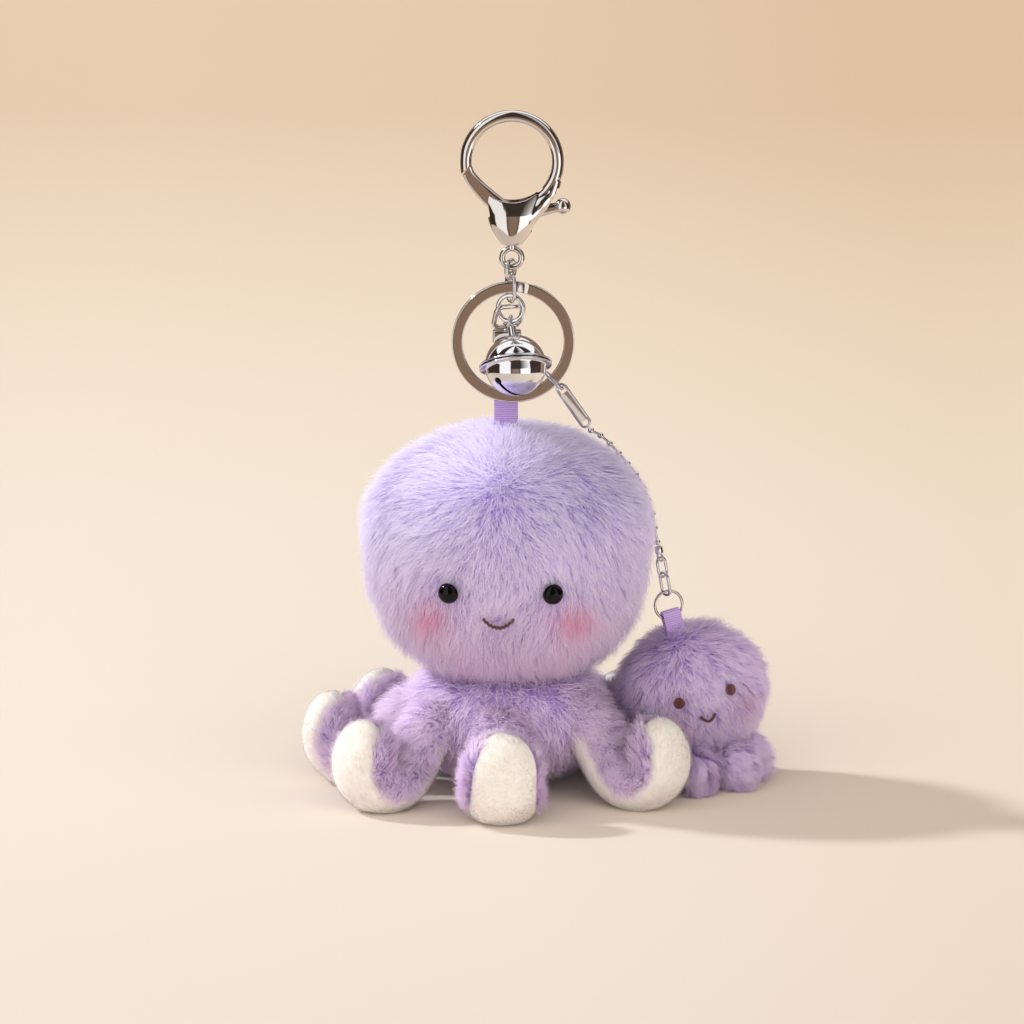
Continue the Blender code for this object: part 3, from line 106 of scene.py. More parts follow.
def mix(tree, share, first, second, blend="MIX"):
    """Goes from the first colour to the second, each a socket or a hex colour, by a socket or a number."""
    made = node(tree, "ShaderNodeMix", {"data_type": "RGBA", "blend_type": blend})
    for slot, source in ((0, share), (6, first), (7, second)):
        if isinstance(source, (str, float)):
            made.inputs[slot].default_value = linear(source) if isinstance(source, str) else source
        else:
            tree.links.new(source, made.inputs[slot])
    return made.outputs[2]


def bearing(tree, across, away):
    """The bearing of a place or a ray round the toy, from 0 to 1, with the camera's side in the middle."""
    turn = maths(tree, "ARCTAN2", across, maths(tree, "MULTIPLY", away, -1.0))
    return spread(tree, turn, -math.pi, math.pi)


def spread(tree, source, low, high):
    """A number between low and high as a share from 0 to 1."""
    made = node(tree, "ShaderNodeMapRange", {"From Min": low, "From Max": high}, {"Value": source})
    return made.outputs["Result"]


def ramp(tree, source, stops):
    """A colour ramp of (place, hex) stops."""
    made = node(tree, "ShaderNodeValToRGB", links={"Fac": source})
    band = made.color_ramp
    while len(band.elements) < len(stops):
        band.elements.new(0.5)
    for element, (place, colour) in zip(band.elements, stops):
        element.position = place
        element.color = linear(colour)
    return made.outputs["Color"]


def mesh_piece(name, points, faces, material=None, smooth=True):
    """A mesh object from numpy or plain points, in the row frame."""
    data = bpy.data.meshes.new(name)
    data.from_pydata([tuple(p) for p in points], [], [tuple(f) for f in faces])
    data.update()
    if smooth:
        data.shade_smooth()
    if material:
        data.materials.append(material)
    item = bpy.data.objects.new(name, data)
    bpy.context.scene.collection.objects.link(item)
    return item


scene = bpy.context.scene
scene.view_settings.view_transform = "Standard"
aim = Vector((PLUSH_X + 1.23 * MM, PLUSH_Y, 69.7 * MM))
eye_line = Vector((0, -math.cos(VIEW_RISE), math.sin(VIEW_RISE)))
camera_data = bpy.data.cameras.new("camera")
camera_data.lens = camera_data.sensor_width * VIEW_DISTANCE / (FRAME_PIXELS / PIXELS_PER_METRE)
camera_data.clip_start = 0.01
camera = bpy.data.objects.new("camera", camera_data)
camera.location = aim + eye_line * VIEW_DISTANCE
camera.rotation_euler = (math.pi / 2 - VIEW_RISE, 0, 0)
scene.collection.objects.link(camera)
scene.camera = camera

# Bearings round the toy, with the two white windows on either side of the camera.
WINDOWS = [(0.0, "#80695E"), (0.15, "#80695E"), (0.16, "#3A2F2B"), (0.325, "#3A2F2B"), (0.33, "#FFFFFF"),
           (0.445, "#FFFFFF"), (0.45, "#5A4A42"), (0.47, "#86705F"), (0.53, "#86705F"), (0.55, "#4A3C36"),
           (0.553, "#FFFFFF"), (0.655, "#FFFFFF"), (0.66, "#3A2F2B"), (0.80, "#3A2F2B"), (0.81, "#80695E"),
           (1.0, "#80695E")]
WALL_BEHIND_CAMERA, NEAR_PAPER = "#3A302C", 0.30
FLOOR_HALF, FLOOR_BACK, SWEEP_R, SWEEP_TOP = 3.0, 3.1, 0.5, 2.2
profile = [(-FLOOR_HALF, 0.0), (FLOOR_BACK, 0.0)]
for k in range(1, 13):
    turn = math.pi / 2 * k / 12
    profile.append((FLOOR_BACK + SWEEP_R * math.sin(turn), SWEEP_R - SWEEP_R * math.cos(turn)))
profile.append((FLOOR_BACK + SWEEP_R, SWEEP_TOP))
sweep_points = [(x, y, z) for y, z in profile for x in (-FLOOR_HALF, FLOOR_HALF)]
sweep_faces = [(2 * k, 2 * k + 1, 2 * k + 3, 2 * k + 2) for k in range(len(profile) - 1)]
paper, tree, out = new_material("cream_backdrop_paper")
place = node(tree, "ShaderNodeNewGeometry")
split = node(tree, "ShaderNodeSeparateXYZ", links={0: place.outputs["Position"]})
across, away = split.outputs["X"], split.outputs["Y"]
# Painted shade, as the camera and the metal see the paper: brightest just behind the toy, painted darker towards
# the back and to the right, away from the lamp, and a little towards the front.
painted_shade_backward = ramp(tree, spread(tree, away, -0.28, 1.0), [(0.0, "#D1C6BC"), (0.297, "#D9CEC2"), (0.467, "#D4CABD"),
                                                         (0.67, "#D0C2B1"), (1.0, "#C4B099")])
painted_shade_rightward = ramp(tree, spread(tree, across, -0.126, 0.126), [(0.0, "#FFFFFF"), (0.5, "#FBFAF9"), (1.0, "#F4EFE8")])
rays = node(tree, "ShaderNodeLightPath")
looked_at = maths(tree, "MAXIMUM", rays.outputs["Is Camera Ray"], rays.outputs["Is Glossy Ray"])
shade = mix(tree, looked_at, "#EFE3DE", mix(tree, 1.0, painted_shade_backward, painted_shade_rightward, "MULTIPLY"))
flat = node(tree, "ShaderNodeCombineXYZ", links={"X": across, "Y": away})
reach = node(tree, "ShaderNodeVectorMath", {"operation": "LENGTH"}, {0: flat.outputs[0]})
past = maths(tree, "GREATER_THAN", reach.outputs["Value"], NEAR_PAPER)
mirrored = maths(tree, "MULTIPLY", rays.outputs["Is Glossy Ray"], past)
seen = mix(tree, mirrored, shade, ramp(tree, bearing(tree, across, away), WINDOWS))
matt = node(tree, "ShaderNodeBsdfDiffuse", {"Roughness": 0.6}, {"Color": seen})
tree.links.new(matt.outputs["BSDF"], out.inputs["Surface"])
backdrop = mesh_piece("paper_sweep", sweep_points, sweep_faces, paper)

# The low sun that throws the shadow to the right, a little cooler than the room.
key = bpy.data.lights.new("low_key_lamp", "SUN")
key.energy = 3.0
key.angle = math.radians(5)
key.color = (0.90, 0.94, 1.0)
key_lamp = bpy.data.objects.new("low_key_lamp", key)
lamp_way = Vector((-0.967 * math.cos(LAMP_RISE), 0.253 * math.cos(LAMP_RISE), math.sin(LAMP_RISE)))
key_lamp.rotation_euler = lamp_way.to_track_quat("Z", "Y").to_euler()
scene.collection.objects.link(key_lamp)

# The room: soft fill that is strongest from the camera's side, less from overhead, and for metal
# the dark walls, the windows and a white skylight over the back.
FILL, FILL_FRONT, FILL_LEFT, FILL_ABOVE, MIRROR_POWER = 0.86, 1.36, -0.3, -0.55, 1.15
room = bpy.data.worlds.new("pale_room")
scene.world = room
room.use_nodes = True
tree = room.node_tree
tree.nodes.clear()
heading = node(tree, "ShaderNodeSeparateXYZ", links={0: node(tree, "ShaderNodeTexCoord").outputs["Generated"]})
across, away, rise = heading.outputs
walls = ramp(tree, bearing(tree, across, away),
             [(place, WALL_BEHIND_CAMERA if 0.445 < place < 0.555 else colour) for place, colour in WINDOWS])
skylight = maths(tree, "MULTIPLY", maths(tree, "GREATER_THAN", away, 0.02), maths(tree, "GREATER_THAN", rise, 0.55))
rays = node(tree, "ShaderNodeLightPath")
seen = mix(tree, rays.outputs["Is Glossy Ray"], "#FFFBF5", mix(tree, skylight, walls, "#FFFFFF"))
toward = maths(tree, "MAXIMUM", maths(tree, "MULTIPLY", away, -1.0), 0.0)
leftward, upward = maths(tree, "MINIMUM", across, 0.0), maths(tree, "MAXIMUM", rise, 0.0)
plain = maths(tree, "MULTIPLY_ADD", toward, FILL_FRONT, FILL)
fill = maths(tree, "MULTIPLY_ADD", upward, FILL_ABOVE, maths(tree, "MULTIPLY_ADD", leftward, FILL_LEFT, plain))
power = node(tree, "ShaderNodeMix", {"data_type": "FLOAT", 3: MIRROR_POWER},
             {0: rays.outputs["Is Glossy Ray"], 2: fill})
glow = node(tree, "ShaderNodeBackground", links={"Color": seen, "Strength": power.outputs[0]})
tree.links.new(glow.outputs[0], node(tree, "ShaderNodeOutputWorld").inputs["Surface"])

# ---------------------------------------------------------------- fur of the octopus
# Long-pile polyester faux fur, sewn as panels and stuffed, then brushed out from the parting on
# the crown. Each tuft is made as fine tapered fibres that grow from a smooth fabric skin.
HEAD_WIDTH, HEAD_DEPTH = 68.6 * MM, 66.4 * MM
HEAD_BOTTOM, HEAD_WIDEST, HEAD_TOP = 29.5 * MM, 66.5 * MM, 91.2 * MM
HEAD_LOWER_POWER = 2.4
HEAD_FIBRES, HEAD_FIBRE, HEAD_FUR, LOW_EXTRA, SIDE_EXTRA = 120000, 0.07 * MM, 7.0 * MM, 1.8 * MM, 1.3 * MM
PARTING = Vector((PLUSH_X - 1 * MM, PLUSH_Y - 22 * MM, 85 * MM))


def fur_material(name, root, middle, tip, blush="#F9A5BF"):
    """Brushed polyester with a powdery sheen: each fibre is painted darker toward its root, as painted shade
    between the fibres, and pale and soft at its end.
    """
    made, tree, out = new_material(name)
    along, tone, pink, bounce_tint_share = [node(tree, "ShaderNodeAttribute", {"attribute_name": key}).outputs["Fac"]
                               for key in ("along", "tone", "blush", "painted_bounce")]
    # Painted shade: each fibre's colour runs from darker at the root, for the shade deep between the fibres, to
    # pale at its end; tone shifts it at random.
    base = ramp(tree, maths(tree, "MULTIPLY_ADD", tone, 0.45, along),
                [(0.0, root), (0.55, middle), (1.25 / 1.45, tip)])
    # The painted_bounce share tints the fur pink, as painted bounce light from the cream paper; blush is the
    # cheeks' own pink.
    tinted = mix(tree, pink, mix(tree, bounce_tint_share, base, "#FFCDEB"), blush)
    deeper = node(tree, "ShaderNodeHueSaturation", {"Saturation": 1.5}, {"Color": tinted})
    front = node(tree, "ShaderNodeBsdfPrincipled",
                 {"Roughness": 0.62, "Sheen Weight": 0.25, "Sheen Roughness": 0.45, "Specular IOR Level": 0.2},
                 {"Base Color": tinted})
    through = node(tree, "ShaderNodeBsdfTranslucent", links={"Color": deeper.outputs[0]})
    fibre = node(tree, "ShaderNodeMixShader", {0: 0.42}, {1: front.outputs[0], 2: through.outputs[0]})
    tree.links.new(fibre.outputs[0], out.inputs["Surface"])
    return made


def unit(a):
    return a / np.maximum(np.linalg.norm(a, axis=-1, keepdims=True), 1e-12)


def lay_flat(way, normals):
    """Directions laid down into the surface that the normals stand on."""
    return unit(way - normals * np.sum(way * normals, axis=1)[:, None])


def pile(name, material, roots, normals, comb, length, width, lift, seed, clump=2.2 * MM, gather=0.55,
         wave=0.12, blush=0.0, painted_bounce=0.0, pale=0.0, soften=0.72):
    """Tapered fibres that rise from their roots and lie over along the comb, gathered into tufts."""
    rng = np.random.default_rng(seed)
    steps = (0.0, 0.36, 0.72)
    count = len(roots)
    picks = rng.choice(count, max(8, min(count, int(count * spread_share(roots, clump)))), replace=False)
    tree = KDTree(len(picks))
    for k, p in enumerate(picks):
        tree.insert(roots[p], k)
    tree.balance()
    owner = np.array([tree.find(p)[1] for p in roots])
    tuft_tone = rng.normal(0, 1, len(picks))[owner]
    turn = rng.normal(0, 1, len(picks))[owner] * 0.22 + rng.normal(0, 1, count) * 0.13
    across = unit(np.cross(normals, comb))
    flow = unit(comb * np.cos(turn)[:, None] + across * np.sin(turn)[:, None])
    rise = np.clip(lift + rng.normal(0, 0.07, count) + rng.normal(0, 0.07, len(picks))[owner], 0.12, 0.95)
    size = length * rng.uniform(0.72, 1.12, count)
    run = np.sqrt(1 - rise ** 2)
    tip = roots + normals * (size * rise * 0.72)[:, None] + flow * (size * run)[:, None]
    tuft_tip = tip[picks][owner]
    spread = rng.normal(0, 1, (count, 3)) * 0.18 * size[:, None]
    pull = (tuft_tip + spread - tip) * gather
    far = np.linalg.norm(tuft_tip - tip, axis=1) > 2.2 * clump
    pull[far] *= 0.2
    bend = across * (rng.normal(0, wave, count) * size)[:, None]
    side = unit(np.cross(flow, normals))
    twist = rng.uniform(-1.0, 1.0, count)
    side = unit(side * np.cos(twist)[:, None] + unit(np.cross(side, flow)) * np.sin(twist)[:, None])
    face = unit(np.cross(side, flow))
    face = face * np.sign(np.sum(face * normals, axis=1))[:, None]
    shade = unit(normals * soften + face * (1 - soften) + flow * 0.12)
    points, shades, alongs = [], [], []
    for u in steps:
        place = (roots + normals * (size * rise * (u - 0.28 * u * u))[:, None]
                 + flow * (size * run * (0.72 * u + 0.28 * u * u))[:, None] + pull * u ** 1.6
                 + bend * math.sin(u * math.pi))
        half = np.broadcast_to(width * (1 - 0.62 * u), count)[:, None]
        points += [place - side * half, place + side * half]
        shades += [shade, shade]
        alongs += [np.full(count, u)] * 2
    points.append(tip + pull)
    shades.append(shade)
    alongs.append(np.ones(count))
    layers = len(points)
    co = np.stack(points, 1).reshape(-1, 3)
    base = (np.arange(count) * layers)[:, None]
    quads = [base + np.array([[2 * k, 2 * k + 1, 2 * k + 3, 2 * k + 2]]) for k in range(len(steps) - 1)]
    quads = np.stack(quads, 1).reshape(-1, 4)
    last = 2 * (len(steps) - 1)
    tris = base + np.array([[last, last + 1, last + 2]])
    data = bpy.data.meshes.new(name)
    data.vertices.add(len(co))
    data.vertices.foreach_set("co", co.astype(np.float32).ravel())
    loops = np.concatenate([quads.ravel(), tris.ravel()])
    starts = np.concatenate([np.arange(len(quads)) * 4, len(quads) * 4 + np.arange(count) * 3])
    data.loops.add(len(loops))
    data.loops.foreach_set("vertex_index", loops.astype(np.int32))
    data.polygons.add(len(starts))
    data.polygons.foreach_set("loop_start", starts.astype(np.int32))
    data.update(calc_edges=True)
    data.shade_smooth()
    grid = math.ceil(math.sqrt(count))
    cell = 1.0 / grid
    layer = np.concatenate([np.tile([0.0, 1.0], len(steps)), [0.5]])
    rise_v = np.concatenate([np.repeat(steps, 2), [1.0]])
    u_map = ((np.arange(count) % grid)[:, None] + 0.15 + 0.7 * layer[None, :]) * cell
    v_map = ((np.arange(count) // grid)[:, None] + 0.1 + 0.8 * rise_v[None, :]) * cell
    uv = np.stack([u_map, v_map], 2).reshape(-1, 2)[loops]
    data.uv_layers.new(name="OFBake").data.foreach_set("uv", uv.astype(np.float32).ravel())
    # Tones differ at random by tuft and by fibre; pale moves them toward the paler end colour, which the calls use
    # mostly as painted light on fur that sits in shade.
    tones = np.clip(0.5 + 0.13 * tuft_tone + rng.normal(0, 0.13, count) + pale, 0, 1)
    fields = {"along": np.stack(alongs, 1)}
    # painted_bounce is stored per fibre as the share of painted bounce light that tints it pink.
    for key, values in (("tone", tones), ("blush", blush), ("painted_bounce", painted_bounce)):
        fields[key] = np.repeat(np.broadcast_to(values, count)[:, None], layers, 1)
    for key, values in fields.items():
        data.attributes.new(key, "FLOAT", "POINT").data.foreach_set("value", values.astype(np.float32).ravel())
    data.normals_split_custom_set_from_vertices(np.stack(shades, 1).reshape(-1, 3).astype(np.float32))
    data.materials.append(material)
    item = bpy.data.objects.new(name, data)
    bpy.context.scene.collection.objects.link(item)
    return item


def drift(roots, wavelength, seed):
    """A slow random wander over a surface, from about -1 to 1, that turns the pile in patches."""
    rng = np.random.default_rng(seed)
    total = np.zeros(len(roots))
    for _ in range(6):
        way = unit(rng.normal(0, 1, 3)) * math.tau / (wavelength * rng.uniform(1.6, 3.2))
        total += np.sin(roots @ way + rng.uniform(0, math.tau))
    return total / 2.6


def spread_share(roots, clump):
    """The share of the fibres that lead a tuft, from the real width of a tuft."""
    low, high = roots.min(0), roots.max(0)
    side = np.sort(high - low)
    area = 2.6 * side[1] * side[2]
    return area / (clump * clump) / len(roots)


def head_surface(theta, phi, grow):
    """Points of the stuffed head: wide above, drawn in toward the neck."""
    rise, low = np.sin(phi), HEAD_BOTTOM - grow
    reach = np.where(rise < 0, (1 - np.abs(rise) ** HEAD_LOWER_POWER) ** (1 / HEAD_LOWER_POWER), np.cos(phi))
    z = np.where(rise < 0, HEAD_WIDEST + rise * (HEAD_WIDEST - low),
                 HEAD_WIDEST + rise * (HEAD_TOP + grow - HEAD_WIDEST))
    x = PLUSH_X + (HEAD_WIDTH / 2 + grow) * reach * np.cos(theta)
    y = PLUSH_Y + (HEAD_DEPTH / 2 + grow) * reach * np.sin(theta)
    return np.stack([x, y, z], -1)


def surface_ways(surface, a, b, grow):
    """The two directions in which a surface function runs at each place, by small steps."""
    step = 1e-3
    return (surface(a + step, b, grow) - surface(a - step, b, grow),
            surface(a, b + step, grow) - surface(a, b - step, grow))


def globe_skin(name, surface, grow, material, sides=72, rows=44):
    """The fabric under the pile, as a closed globe."""
    pole = math.pi / 2 - 0.02
    phi = np.linspace(-pole, pole, rows)
    theta = np.arange(sides) * math.tau / sides
    grid = surface(theta[None, :].repeat(rows, 0), phi[:, None].repeat(sides, 1), grow)
    points = grid.reshape(-1, 3)
    faces = [(r * sides + s, r * sides + (s + 1) % sides, (r + 1) * sides + (s + 1) % sides, (r + 1) * sides + s)
             for r in range(rows - 1) for s in range(sides)]
    faces.append(tuple(reversed(range(sides))))
    faces.append(tuple((rows - 1) * sides + s for s in range(sides)))
    return mesh_piece(name, points, faces, material)


def globe_roots(surface, count, grow, rng, low_phi=-1.5, high_phi=1.55):
    """Even random places over a globe, kept in proportion to the area, and their outward normals."""
    tries = count * 3
    theta, phi = rng.uniform(0, math.tau, tries), rng.uniform(low_phi, high_phi, tries)
    area = np.linalg.norm(np.cross(*surface_ways(surface, theta, phi, grow)), axis=1)
    keep = rng.uniform(0, 1, tries) < area / np.quantile(area, 0.999)
    theta, phi = theta[keep][:count], phi[keep][:count]
    return surface(theta, phi, grow), unit(np.cross(*surface_ways(surface, theta, phi, grow)))


lilac_fur = fur_material("lilac_long_pile_faux_fur", "#CDB2F2", "#E6D6FC", "#F7F0FF")
EYE_PLACES = [(-14.0 * MM, 56.0 * MM), (11.0 * MM, 56.0 * MM)]
MOUTH_PLACE, FACE_CLEAR = (-2.0 * MM, 48.4 * MM), 3.6 * MM
CHEEKS = [(-17.8 * MM, 47.6 * MM), (15.9 * MM, 47.3 * MM)]


def make_head_pile():
    """The head's skin and its fur, parted at the crown, combed down, and short round the eyes and mouth."""
    rng = np.random.default_rng(11)
    roots, normals = globe_roots(head_surface, HEAD_FIBRES, -2.2 * MM, rng)
    away = roots - np.array(PARTING)
    distance = np.linalg.norm(away, axis=1)
    away = lay_flat(away, normals)
    down = normals * normals[:, 2:3] + np.array([0, 0, -1.0])
    fall = np.clip(distance / (30 * MM), 0, 1)[:, None]
    comb = away * (1 - 0.75 * fall) + unit(down) * (0.75 * fall)
    comb = lay_flat(comb, normals)
    patch = drift(roots, 9 * MM, 71)
    comb = unit(comb + np.cross(normals, comb) * (0.45 * patch)[:, None])
    swirl = np.exp(-(distance / (6 * MM)) ** 2)
    comb = unit(comb + rng.normal(0, 1.5, comb.shape) * swirl[:, None])
    comb = lay_flat(comb, normals)
    low = np.clip((60 * MM - roots[:, 2]) / (22 * MM), 0, 1)
    lift = 0.70 + 0.07 * drift(roots, 6 * MM, 72) - 0.10 * swirl + 0.04 * low
    front = roots[:, 1] < PLUSH_Y
    beside = np.clip(np.abs(roots[:, 0] - PLUSH_X) / (HEAD_WIDTH / 2), 0, 1)
    length = HEAD_FUR + LOW_EXTRA * low + SIDE_EXTRA * beside ** 2
    blush = np.zeros(len(roots))
    for x, z in CHEEKS:
        d = np.hypot(roots[:, 0] - PLUSH_X - x, roots[:, 2] - 3.0 * MM - z)
        blush = np.maximum(blush, np.exp(-(d / (3.4 * MM)) ** 2) * front)
    # Painted bounce light: the lower front of the face is tinted pink, as if lit from the cream floor below.
    painted_bounce = 0.34 * np.clip((64 * MM - roots[:, 2]) / (30 * MM), 0, 1)
    painted_bounce *= np.clip((PLUSH_Y - roots[:, 1]) / (20 * MM), 0, 1)
    for x, z in EYE_PLACES + [MOUTH_PLACE]:
        d = np.hypot(roots[:, 0] - PLUSH_X - x, (roots[:, 2] - 1.5 * MM - z))
        near = np.clip(1 - d / (FACE_CLEAR * 2.2), 0, 1) * front
        length *= 1 - 0.68 * near
    skin = globe_skin("head_fabric", head_surface, -2.3 * MM, lilac_fur)
    half = len(roots) // 2
    coats = []
    for k, part in enumerate((slice(0, half), slice(half, 2 * half))):
        # Painted light: the lower head's fur is painted paler, against the shade under the head; the crown's
        # parting is painted paler too.
        coats.append(pile("head_fur_ply_%d" % (k + 1), lilac_fur, roots[part], normals[part], comb[part],
                          length[part],
                          HEAD_FIBRE, lift[part], 5 + 3 * k, clump=1.15 * MM, gather=0.26, blush=0.55 * blush[part],
                          painted_bounce=painted_bounce[part], pale=0.5 * swirl[part] + 0.3 * low[part]))
    for item in [skin] + coats:
        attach(item, "plush")
    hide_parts("head")


make_head_pile()

# ---------------------------------------------------------------- hub under the head
# The gathered body that the tentacles are sewn round. It is stuffed with them and mostly hidden,
# but its fur closes the gaps under the head.
HUB_WIDTH, HUB_DEPTH = 49.0 * MM, 47.0 * MM
HUB_BOTTOM, HUB_TOP = 3.5 * MM, 35.0 * MM
HUB_FIBRES, HUB_FUR, LONG_FIBRE = 22000, 7.0 * MM, 0.08 * MM


def hub_surface(theta, phi, grow):
    middle = (HUB_BOTTOM + HUB_TOP) / 2
    x = PLUSH_X + (HUB_WIDTH / 2 + grow) * np.cos(phi) * np.cos(theta)
    y = PLUSH_Y + (HUB_DEPTH / 2 + grow) * np.cos(phi) * np.sin(theta)
    z = middle + ((HUB_TOP - HUB_BOTTOM) / 2 + grow) * np.sin(phi)
    return np.stack([x, y, z + 0 * theta], -1)


hub_skin = globe_skin("hub_fabric", hub_surface, -1.6 * MM, lilac_fur, 48, 24)
hub_roots, hub_normals = globe_roots(hub_surface, HUB_FIBRES, -1.5 * MM, np.random.default_rng(21), -1.35, 1.25)
hub_comb = np.array([0, 0, -1.0]) + hub_normals * hub_normals[:, 2:3]
hub_comb = hub_comb + np.random.default_rng(23).normal(0, 0.4, hub_normals.shape)
hub_comb = lay_flat(hub_comb, hub_normals)
# Painted light: the hub's fur is painted paler throughout, against the shade under the head, and tinted pink as
# painted bounce light from the floor.
hub_coat = pile("hub_fur", lilac_fur, hub_roots, hub_normals, hub_comb, HUB_FUR, LONG_FIBRE,
                0.72 + 0.08 * drift(hub_roots, 5 * MM, 24), 22, clump=2.3 * MM, gather=0.5, wave=0.16,
                painted_bounce=0.2, pale=0.18)
for item in (hub_skin, hub_coat):
    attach(item, "plush")
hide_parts("body_hub")

# ---------------------------------------------------------------- tentacles and their soles
# Eight stuffed limbs, sewn from a strip of fur and a strip of cream velour. They lie out on the
# floor and curl up at the tip, so that the velour shows round the outside of each curl.
LONG, MEDIUM, SHORT = 50.5 * MM, 47.0 * MM, 45.1 * MM
WIDEST, WIDE, NARROW = 19.0 * MM, 16.8 * MM, 15.6 * MM
LIMB_THICKNESS, LIMB_TIP, LIMB_FLAT = 13.0 * MM, 23.0 * MM, 0.5 * MM
LIMB_ROOT_OUT, LIMB_ROOT_RISE = 15.0 * MM, 20.0 * MM
TENTACLES = [("front", -92, MEDIUM, WIDEST), ("front_left", -143, LONG, WIDE), ("left", 172, LONG, NARROW),
             ("back_left", 136, LONG, NARROW), ("back", 106, SHORT, NARROW), ("back_right", 75, SHORT, NARROW),
             ("right", 44, SHORT, NARROW), ("front_right", -32, LONG, WIDE)]
SEAM_RISES = {"front_right": (0.0, 0.85, 0.0, 0.0), "front_left": (0.45, 0.0, 0.0, 0.0),
              "front": (0.0, 0.0, 0.15, -0.55)}
SEAM, FABRIC_IN, ROOTS_IN, SOLE_PUFF, SOLE_TUCK = -0.25, -1.6 * MM, -1.4 * MM, 0.25 * MM, 2.1 * MM
LIMB_FIBRES, LIMB_FUR, NAP_HAIRS, NAP_HAIR, NAP_LENGTH = 15000, 6.2 * MM, 12000, 0.045 * MM, 0.7 * MM
SOLE_COLUMNS, LIMB_STEPS = 25, 240


def smooth_line(knots, steps):
    """A smooth line through knots, with the distance along it at each point."""
    line = []
    for i in range(len(knots) - 1):
        p0, p1, p2, p3 = knots[max(i - 1, 0)], knots[i], knots[i + 1], knots[min(i + 2, len(knots) - 1)]
        for t in np.linspace(0, 1, steps, endpoint=False):
            line.append(0.5 * (2 * p1 + (p2 - p0) * t + (2 * p0 - 5 * p1 + 4 * p2 - p3) * t ** 2
                               + (3 * p1 - p0 - 3 * p2 + p3) * t ** 3))
    line = np.array([tuple(p) for p in line + [knots[-1]]])
    return line, np.concatenate([[0], np.cumsum(np.linalg.norm(np.diff(line, axis=0), axis=1))])


def limb_line(reach):
    """The J-shaped middle line of a limb in its own upright plane, evenly spaced, with its directions."""
    half, floor = LIMB_THICKNESS / 2, LIMB_THICKNESS / 2 - LIMB_FLAT
    outer = reach - half
    span = outer - LIMB_ROOT_OUT
    knots = np.array([(LIMB_ROOT_OUT, LIMB_ROOT_RISE), (LIMB_ROOT_OUT + 0.30 * span, LIMB_ROOT_RISE * 0.86),
                      (LIMB_ROOT_OUT + 0.60 * span, floor * 1.25), (LIMB_ROOT_OUT + 0.84 * span, floor),
                      (outer, LIMB_TIP * 0.44), (outer - 0.08 * half, LIMB_TIP * 0.74),
                      (outer - 0.62 * half, LIMB_TIP - 0.38 * floor)])
    line, run = smooth_line(knots, 24)
    want = np.linspace(0, run[-1], LIMB_STEPS)
    even = np.stack([np.interp(want, run, line[:, 0]), np.interp(want, run, line[:, 1])], 1)
    way = np.gradient(even, axis=0)
    for _ in range(6):
        way[1:-1] = (way[:-2] + way[1:-1] + way[2:]) / 3
    return even, unit(way)


def limb_surface(degrees, reach, full_width):
    """A function of place along the limb, angle round it and growth, and the way along the limb at each place."""
    line, way = limb_line(reach)
    angle = math.radians(degrees)
    out, side = np.array([math.cos(angle), math.sin(angle), 0]), np.array([-math.sin(angle), math.cos(angle), 0])
    base, up = np.array([PLUSH_X, PLUSH_Y, 0.0]), np.array([0, 0, 1.0])

    def at(s, values):
        return np.interp(s, np.linspace(0, 1, len(values)), values)

    def surface(s, t, grow):
        place = base + out * at(s, line[:, 0])[..., None] + up * at(s, line[:, 1])[..., None]
        ox, oz = at(s, way[:, 0])[..., None], at(s, way[:, 1])[..., None]
        lift = unit(up * ox - out * oz)
        swell = np.sin(np.minimum(s / 0.7, 1) * math.pi / 2)
        past = np.clip(s - 0.8, 0, None) / 0.2
        taper = np.sqrt(np.clip(1 - past ** 2, 0, 1))
        width = full_width / 2 * (0.5 + 0.5 * swell) * taper + grow * np.minimum(taper * 3, 1)
        thick = LIMB_THICKNESS / 2 * (0.86 + 0.14 * swell) * (0.2 + 0.8 * taper) * np.minimum(taper * 3, 1)
        thick = thick + grow * np.minimum(taper * 3, 1)
        return place + side * (width * np.cos(t))[..., None] + lift * (thick * np.sin(t))[..., None]

    def along(s):
        return unit(out * at(s, way[:, 0])[..., None] + up * at(s, way[:, 1])[..., None])

    return surface, along


def grid_faces(rows, columns):
    """The faces of a grid of points whose last column joins its first."""
    return [(r * columns + c, r * columns + (c + 1) % columns, (r + 1) * columns + (c + 1) % columns,
             (r + 1) * columns + c) for r in range(rows - 1) for c in range(columns)]


def noise(tree, size, detail, roughness=0.5):
    """Noise over the piece's own coordinates, with spots of about the given size."""
    made = node(tree, "ShaderNodeTexNoise", {"Scale": 1 / size, "Detail": detail, "Roughness": roughness},
                {"Vector": node(tree, "ShaderNodeTexCoord").outputs["Object"]})
    return made.outputs["Fac"]


def bump(tree, height, strength, distance, below=None):
    """Raises a surface by a height, over another bump where one is given."""
    made = node(tree, "ShaderNodeBump", {"Strength": strength, "Distance": distance}, {"Height": height})
    if below:
        tree.links.new(below, made.inputs["Normal"])
    return made.outputs[0]


def principled(tree, out, settings, links=None):
    """One Principled shader as a material's whole surface."""
    made = node(tree, "ShaderNodeBsdfPrincipled", settings, links)
    tree.links.new(made.outputs[0], out.inputs["Surface"])


def velour_material(name, pale, shade):
    """Short cream velour: nearly white, matt, with a soft bloom at its edges and a faint uneven nap."""
    made, tree, out = new_material(name)
    nap = noise(tree, 1.6 * MM, 5.0, 0.65)
    fuzz = bump(tree, noise(tree, 0.35 * MM, 2.0), 0.45, 0.18 * MM, bump(tree, nap, 0.25, 0.35 * MM))
    principled(tree, out, {"Roughness": 0.95, "Sheen Weight": 0.5, "Sheen Roughness": 0.35,
                           "Specular IOR Level": 0.1,
                           "Subsurface Weight": 0.15, "Subsurface Scale": 1.5 * MM},
               {"Base Color": ramp(tree, nap, [(0.3, shade), (0.62, pale)]), "Normal": fuzz})
    return made


cream_velour = velour_material("cream_short_velour", "#E0DBD4", "#D9D3CB")
cream_nap = fur_material("cream_velour_nap", "#E0DAD2", "#E3DDD6", "#E6E1DB")


